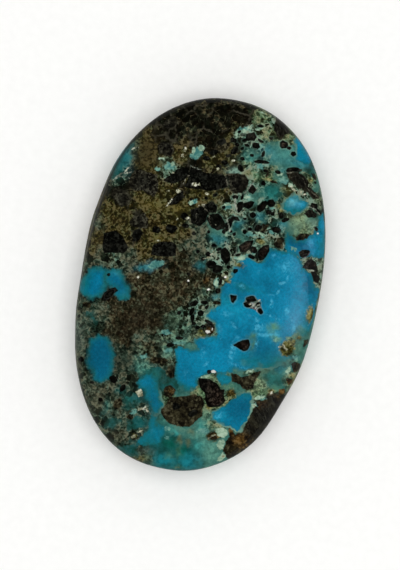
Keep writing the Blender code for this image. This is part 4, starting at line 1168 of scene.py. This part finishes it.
groundWashes = {
    "fern": [
        (0.4, -22.8, 2, 2, 0.98), (2.5, -23.3, 2.4, 2, 0.98),
    ],
    "tide": [
        (3.5, -24.5, 2.8, 2.6, 0.95), (0.2, -25.2, 3.4, 1.8, 0.95), (13.4, -9.2, 2.4, 1.6, 0.7),
    ],
    "surf": [
        (4.4, -22.3, 2, 1.8, 0.85), (0.9, -20.9, 1.8, 0.9, 0.8), (4.4, -19.6, 1.6, 1.4, 0.6),
        (3.4, 18.6, 2, 1.6, 0.4), (15, -8.4, 1.6, 3.4, 0.4),
    ],
    "mist": [
        (3.6, -21.1, 1.5, 1, 0.7), (-5.8, -12.7, 1.4, 2.4, 0.55, 20), (4.8, -20.6, 2.4, 2, 0.3),
        (6.3, -22.6, 3.2, 4.6, 0.8, -20), (5, -21, 2, 1.8, 0.5), (4.9, -18.2, 1.8, 2.6, 0.6),
        (-0.9, -8.3, 2.6, 1.2, 0.6, 10), (-2.4, -10.4, 2, 1.2, 0.5),
    ],
    "drab": [
        (1.5, -21.7, 0.8, 2, 0.7), (2.9, -22.1, 1.5, 0.7, 0.65, -30), (3.1, -20.4, 0.9, 0.8, 0.5),
        (-2.7, -25.3, 2.6, 1.3, 0.35, 5),
    ],
    "leaf": [
        (1.8, -23.5, 0.7, 1.8, 0.6), (0.7, -24.5, 1.1, 1.1, 0.6), (2, -25.6, 2, 0.9, 0.5),
        (15, -6.2, 2, 2, 0.5), (13.4, -12.2, 2, 1.6, 0.5), (3, -14.6, 3, 1, 0.5, -30),
        (7.2, -13.2, 2.4, 1, 0.4, 20), (11.2, -13.4, 1.8, 1.4, 0.5), (6.4, 16.4, 3, 1, 0.4, 10),
        (5, 16.6, 1.4, 1, 0.3),
    ],
    "earth": [
        (-11, 16.6, 4.4, 6.6, 0.85), (0.2, 19, 4, 5, 0.25), (-12.6, 6.8, 3.4, 3.4, 0.4),
    ],
    "smoke": [
        (-7.6, 15.2, 2.2, 1.8, 0.4), (-2.6, -5.9, 2.6, 3.4, 0.35), (4.6, -16.8, 1.6, 1.4, 0.6),
    ],
    "lagoon": [
        (-13.9, 15.9, 2.2, 4, 0.7, 10), (-9.9, -20.9, 1.2, 0.9, 0.4), (0.6, -24.2, 4.6, 4.6, 0.3),
        (-7.9, -16.8, 1.4, 1.2, 0.5), (-8.2, -21.7, 1.8, 1.6, 0.6), (-4.9, -16, 1.6, 2.6, 0.6),
        (-4.4, -20.3, 2, 1.6, 0.5),
    ],
    "teal": [
        (-8, 0.8, 2.8, 1, 0.95, 22), (7.6, 19.7, 6.4, 2.6, 0.6, 5), (10.4, 19.3, 2.8, 1.4, 0.7),
        (5.4, 20.4, 2.4, 1.4, 0.5), (-13.6, 15.6, 2.4, 4.8, 0.6, 10), (1.4, 6.6, 2.2, 1.4, 0.7),
        (-0.4, 2.6, 1.6, 1, 0.5, 20), (2.4, -1.4, 1.4, 0.9, 0.5), (3.8, 9.2, 1.8, 1.6, 0.5),
        (6.2, 10.8, 1.8, 1.2, 0.5), (9.8, 10.4, 1.6, 1.4, 0.6),
    ],
    "froth": [
        (-6.9, 1.2, 2.2, 1, 0.9, 25),
    ],
    "slate": [
        (-8.2, -12.4, 3, 3, 0.85), (11.6, 19.2, 1.5, 2.2, 0.75, -20),
    ],
    "fawn": [
        (-10.8, -18.6, 3, 5, 0.4, 30), (-7.6, -22.6, 3.4, 1.8, 0.35, -30),
        (-14.4, -14.6, 1.6, 4.6, 0.35, 15),
    ],
    "jade": [
        (-6.7, -18.2, 0.9, 2.8, 0.5), (-9.1, -19.2, 1, 1.8, 0.45, 10), (7.3, 14.3, 2.8, 2.6, 0.75),
        (-0.4, -20.9, 1.6, 1.4, 0.5), (12.6, -10.6, 3.4, 2.6, 0.6), (-1.6, -20.2, 1.6, 1.2, 0.5),
        (-4.4, -13.4, 3.6, 1.8, 0.6, -20),
    ],
    "dusk": [
        (-2.6, -24.3, 2.2, 0.9, 0.4, 15), (-15.2, -10.6, 2.4, 5, 0.35),
    ],
    "verdigris": [
        (7.8, 20, 2.6, 1.8, 0.7),
    ],
    "lichen": [
        (11.9, 11.3, 3.6, 2.8, 0.75), (4.4, -12.6, 2.6, 0.9, 0.6, 20), (11, -12, 2, 2.4, 0.5),
        (11.4, -9.8, 2.6, 0.9, 0.5, -10),
    ],
    "dew": [
        (13.9, 11.2, 1.8, 2, 0.7), (1.7, 16.6, 1.9, 1.4, 0.95),
    ],
    "straw": [
        (11.2, 11.9, 1.6, 0.8, 0.35, 10), (-8.6, 9.6, 4, 1.6, 0.35), (-5, 9.6, 2.4, 1.8, 0.5),
        (-7, 5.1, 1.4, 1.2, 0.5), (-1, 12.4, 2.4, 1, 0.5), (15.4, -10.4, 1.2, 2, 0.5),
        (9.4, 15.4, 1.2, 1.6, 0.5), (3.4, 16.4, 1.2, 1.2, 0.5),
    ],
    "chalk": [
        (1.9, 22.3, 1.8, 1, 0.3, 20),
    ],
    "umber": [
        (-7.2, -6.6, 6, 3.4, 0.7), (-6.4, -4.4, 5, 3, 0.45), (-9, -8.6, 4, 2.4, 0.5),
    ],
    "tan": [
        (-14.9, 3.2, 2, 4, 0.5),
    ],
}
rustPlaces = [
    (14.4, -12.5, 2, 2, 0.9), (15.2, -10.9, 1.4, 1.4, 0.8), (9.8, -20.2, 2.8, 2, 0.9, 20),
    (10.6, -20.9, 2, 1.4, 0.8, 30), (8.3, -19.6, 1.4, 2, 0.6), (7.6, -14.1, 1.4, 1.4, 0.8),
    (6.1, -20.5, 3, 2.4, 0.9, 20), (0.8, 0.7, 1.4, 1.4, 0.5), (2.5, -5.9, 1.6, 1.2, 0.6),
    (11.8, -14.8, 1.6, 1, 0.6), (12.6, -12.9, 1.4, 1, 0.6), (-0.9, -15.5, 1, 1, 0.5),
]
coalPlaces = [
    (7, 23.6, 6, 5, 1), (2.3, 15, 6, 5, 1), (-8.4, 19.4, 6, 9, 1), (13.4, 12.8, 4, 3, 1),
    (2.4, -5.2, 2.4, 1.4, 0.7), (-10.4, 12.4, 7, 7, 1), (-13.1, 9.7, 5, 5, 0.9), (-10, 7, 4.6, 4, 0.9),
    (11.2, 17, 8, 5, 1, -35), (12.6, -16.4, 6.4, 7, 1), (11.4, -18.6, 4, 3, 0.9), (13.8, -14, 4, 3, 0.9),
]
# where the turquoise has a chalky rim, where its edge is blurred, and where black pieces have a pale halo
rimPlaces = [
    (10.5, -16.2, 2.4, 6.4, 0.8), (8.6, -19, 6, 2.4, 0.8), (9.4, -13.4, 5, 1.6, 0.3),
    (10.8, 13.8, 5, 4.6, 0.5), (9.6, 21.4, 1.6, 4, 0.4), (1.2, -4, 6, 9, 0.35, 20),
    (10.8, -10, 9, 3, 0.25, 10), (5, 4.4, 5, 3, 0.6, 30), (14, -5.2, 4, 3, 0.4), (-1.9, -16.6, 1.6, 5, 0.4),
    (6.2, -17.6, 2, 2, 0.6),
]
softPlaces = [
    (-11.8, -12.8, 8, 10, 1.4), (-14.2, -2.6, 6, 7, 1.3), (-10.4, -2, 5, 5, 1.1), (-3.4, -18.4, 6, 14, 1.1),
    (12.6, -8.8, 6, 4, 0.9), (10.9, 13.4, 4.6, 4, 0.8), (1.2, -14.4, 4, 2.6, 0.7), (9, 7, 6, 2, 0.5),
    (15.6, -3.6, 3, 3, 0.6), (12, 8.4, 5, 3, 0.9), (14.8, 11, 2, 5, 0.7),
]
haloPlaces = [
    (8, -1.2, 5, 4, 0.6, -30), (7.6, -7.1, 4, 3.2, 0.45), (5.1, -1, 2.4, 2.6, 0.5), (8.4, 21, 4, 4, 0.7),
    (3, 9, 8, 12, 0.4), (0.6, -3.8, 5, 6, 0.2), (11, 15, 7, 5, 0.5), (4, 21.5, 6, 6, 0.5),
]


def slanted(points):
    # veins run aslant through the stone, so what lies under the face is moved a little
    down = np.maximum(form["domeEdgeHeight"] - points[:, 2], 0)
    moved = points.copy()
    # the places were read off a photo, where what lies nearer to the camera is further from the middle
    moved[:, :2] *= 1 + (points[:, 2:] - form["girdleTop"]) / cameraPlace["height"]
    moved[:, :2] -= onStone(markOrigin)
    moved[:, 0] += down * form["veinSlant"][0]
    moved[:, 1] += down * form["veinSlant"][1]
    return moved, down


def cellPlaces(points, cell):
    # the middle of the grain that each point belongs to
    return np.array([noise.voronoi(Vector(p) / cell)[1][0] for p in points]) * cell


def stoneFields(points):
    # points are in mm; every field is one number for each point
    polish = smoothStep(points[:, 2], 0.0, form["backChamferHeight"])
    turn = np.degrees(np.arctan2(points[:, 1], points[:, 0]))
    # painted shade: darkens the bevel at the upper left, where it lies in shadow
    darkSide = np.exp(-(((turn - bevelShadePaint["middle"]) / bevelShadePaint["spread"]) ** 2))
    darkSide *= 1 - smoothStep(points[:, 2], *bevelShadePaint["upper"])
    darkSide *= smoothStep(points[:, 2], *bevelShadePaint["lower"])
    points, down = slanted(points)
    coarse = noiseVectors(points, edgeWaves["coarse"])
    fine = noiseVectors(points, edgeWaves["fine"])
    toGrain = cellPlaces(points, edgeWaves["grain"]) - points
    bitten = smoothStep(points[:, 0], *edgeWaves["calmLeft"])
    fields = {"polish": polish, "darkSide": darkSide}
    kinds = {"turquoise": turquoise, "olive": oliveStain, "brown": brownRock, "mint": mintStone,
             "chalk": chalkStone, "grey": greyRock, "black": blackRock, "cream": creamCrystal, "glint": glint}
    for name, rock in kinds.items():
        seen = points
        if name == "turquoise":  # grains of rock bite into its edge, but not into the pools on the left
            seen = points + toGrain * (edgeWaves["turquoiseBite"] * bitten)[:, None]
        fields[name] = depthIn(rock, seen, down, coarse, fine)
    fields["cement"] = lineDepth(cementLines, points, coarse) - down
    fields["thread"] = lineDepth(threadLines, points, coarse) - down
    weights = rockWeights(points + toGrain * edgeWaves["groundBite"], coarse)
    fields.update(weights)
    for k, name in enumerate(breakFields):
        fields[name] = sum(weights[kind] * ground[k] for kind, ground in rockFinish["grounds"].items())
    for name, ovals in (("wispTint", wispPlaces), ("rustTint", rustPlaces), ("rimTint", rimPlaces),
                        ("haloTint", haloPlaces), ("coalTint", coalPlaces), ("softTint", softPlaces)):
        fields[name] = tintOf(ovals, points, coarse)
    coarseShare, fineShare = edgeWaves["inWashes"]
    drift = coarse * coarseShare + fine * fineShare
    for name, washes in (("pool", poolWashes), ("ground", groundWashes)):
        fields[name + "Colour"], fields[name + "Share"] = washOf(washes, points, drift)
    fields["warmTint"] = smoothStep(points[:, 0], *edgeWaves["warmRight"])
    return fields


def makeStone():
    mesh = buildStone()
    count = len(mesh.vertices)
    flat = np.empty(count * 3)
    mesh.vertices.foreach_get("co", flat)
    points = flat.reshape(-1, 3)
    low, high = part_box("turquoise_stone")
    middle = (np.array(low) + np.array(high)) / 2 / mm
    points[:, :2] += middle[:2] - (points[:, :2].min(axis=0) + points[:, :2].max(axis=0)) / 2
    for name, values in stoneFields(points).items():
        kind, slot = ("FLOAT", "value") if values.ndim == 1 else ("FLOAT_VECTOR", "vector")
        layer = mesh.attributes.new(name, kind, "POINT")
        layer.data.foreach_set(slot, values.astype(np.float32).ravel())
    sunk = pitDepth(points)
    points[:, 2] -= sunk
    mesh.vertices.foreach_set("co", (points * mm).ravel())
    mesh.shade_smooth()
    crisp = np.empty(len(mesh.polygons), bool)
    for k, face in enumerate(mesh.polygons):
        crisp[k] = min(sunk[v] for v in face.vertices) > pitFloor["crisp"]
    mesh.polygons.foreach_set("use_smooth", ~crisp)
    for surface in ("polished", "ground"):
        mesh.materials.append(stoneMaterial(surface))
    stone = bpy.data.objects.new("turquoiseStone", mesh)
    bpy.context.collection.objects.link(stone)
    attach(stone, "root")
    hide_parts("turquoise_stone")
    print(f"stone: {count} points, {len(mesh.polygons)} faces")
    return stone


makeStone()

# The studio: a white paper floor in a light tent that is dark overhead, so that the polished face
# shows its own colours, and a narrow soft box for the pale sheen along the right

studio = {
    "floorSize": 900,  # mm
    "floorDrop": 0.01,  # mm under the stone, so that the two don't share a face
    "floorColours": "f4f4f2 f7f7f5",
    "fibres": 900.0,  # waves per metre
    "fibreStops": (0.3, 0.7),
    "floorGloss": (0.9, 0.1),  # roughness, specular level
    "tent": [(0.0, 0.95), (0.62, 0.85), (0.74, 0.01), (1.0, 0.01)],  # height, strength
    "lamps": {  # place in mm, size in mm, watts, does it show in the polish
        "above": ((0, 0, 700), (900, 900), 4.85, False),
        "rightHaze": ((240, -26, 384), (100, 56), 0.078, True),
    },
}


def makeFloor():
    bpy.ops.mesh.primitive_plane_add(size=studio["floorSize"] * mm)
    floor = bpy.context.object
    floor.name = "paperFloor"
    floor.location.z = -studio["floorDrop"] * mm
    material = bpy.data.materials.new("whitePaper")  # uncoated paper: matt, with a faint fibre
    material.use_nodes = True
    tree = material.node_tree
    place = addNode(tree, "TexCoord")["Object"]
    fibre = addNode(tree, "TexNoise", {"Vector": place, "Scale": studio["fibres"], "Detail": 4.0})["Fac"]
    colour = addNode(tree, "ValToRGB", (fibre,), stopsOf(studio["fibreStops"], studio["floorColours"]))[0]
    shader = tree.nodes["Principled BSDF"]
    tree.links.new(colour, shader.inputs["Base Color"])
    rough, specular = studio["floorGloss"]
    shader.inputs["Roughness"].default_value = rough
    shader.inputs["Specular IOR Level"].default_value = specular
    floor.data.materials.append(material)
    return floor


def makeLamps():
    for name, (where, size, watts, seenInPolish) in studio["lamps"].items():
        lamp = bpy.data.lights.new(name, "AREA")
        lamp.shape = "RECTANGLE"
        lamp.size, lamp.size_y = size[0] * mm, size[1] * mm
        lamp.energy = watts
        holder = bpy.data.objects.new(name, lamp)
        holder.location = Vector(where) * mm
        holder.visible_glossy = seenInPolish
        holder.rotation_euler = (-holder.location).to_track_quat("-Z", "Y").to_euler()
        bpy.context.collection.objects.link(holder)
    world = bpy.data.worlds.new("lightTent")
    world.use_nodes = True
    tree = world.node_tree
    towards = addNode(tree, "TexCoord")["Generated"]
    height = addNode(tree, "SeparateXYZ", (towards,))["Z"]
    brightest = max(strength for _, strength in studio["tent"])
    stops = [(position, [strength / brightest] * 3 + [1.0]) for position, strength in studio["tent"]]
    shade = addNode(tree, "ValToRGB", (height,), stops)[0]
    strength = addNode(tree, "Math", (shade, brightest), operation="MULTIPLY")[0]
    tree.links.new(strength, tree.nodes["Background"].inputs["Strength"])
    tree.nodes["Background"].inputs["Color"].default_value = linear("ffffff")
    bpy.context.scene.world = world


def makeCamera():
    x, y = onStone((photoWidth / 2, photoHeight / 2))
    lens = bpy.data.cameras.new("overhead")
    lens.sensor_width = 36.0
    lens.lens = lens.sensor_width * cameraPlace["height"] / (photoHeight * pixelSize)
    camera = bpy.data.objects.new("overhead", lens)
    camera.location = Vector((x, y, cameraPlace["height"] + form["girdleTop"])) * mm
    camera.rotation_euler = (0, 0, math.radians(cameraPlace["lean"]))
    bpy.context.collection.objects.link(camera)
    bpy.context.scene.camera = camera


makeFloor()
makeLamps()
makeCamera()
bpy.context.scene.view_settings.view_transform = "Standard"
print("studio: floor, lamps and camera")
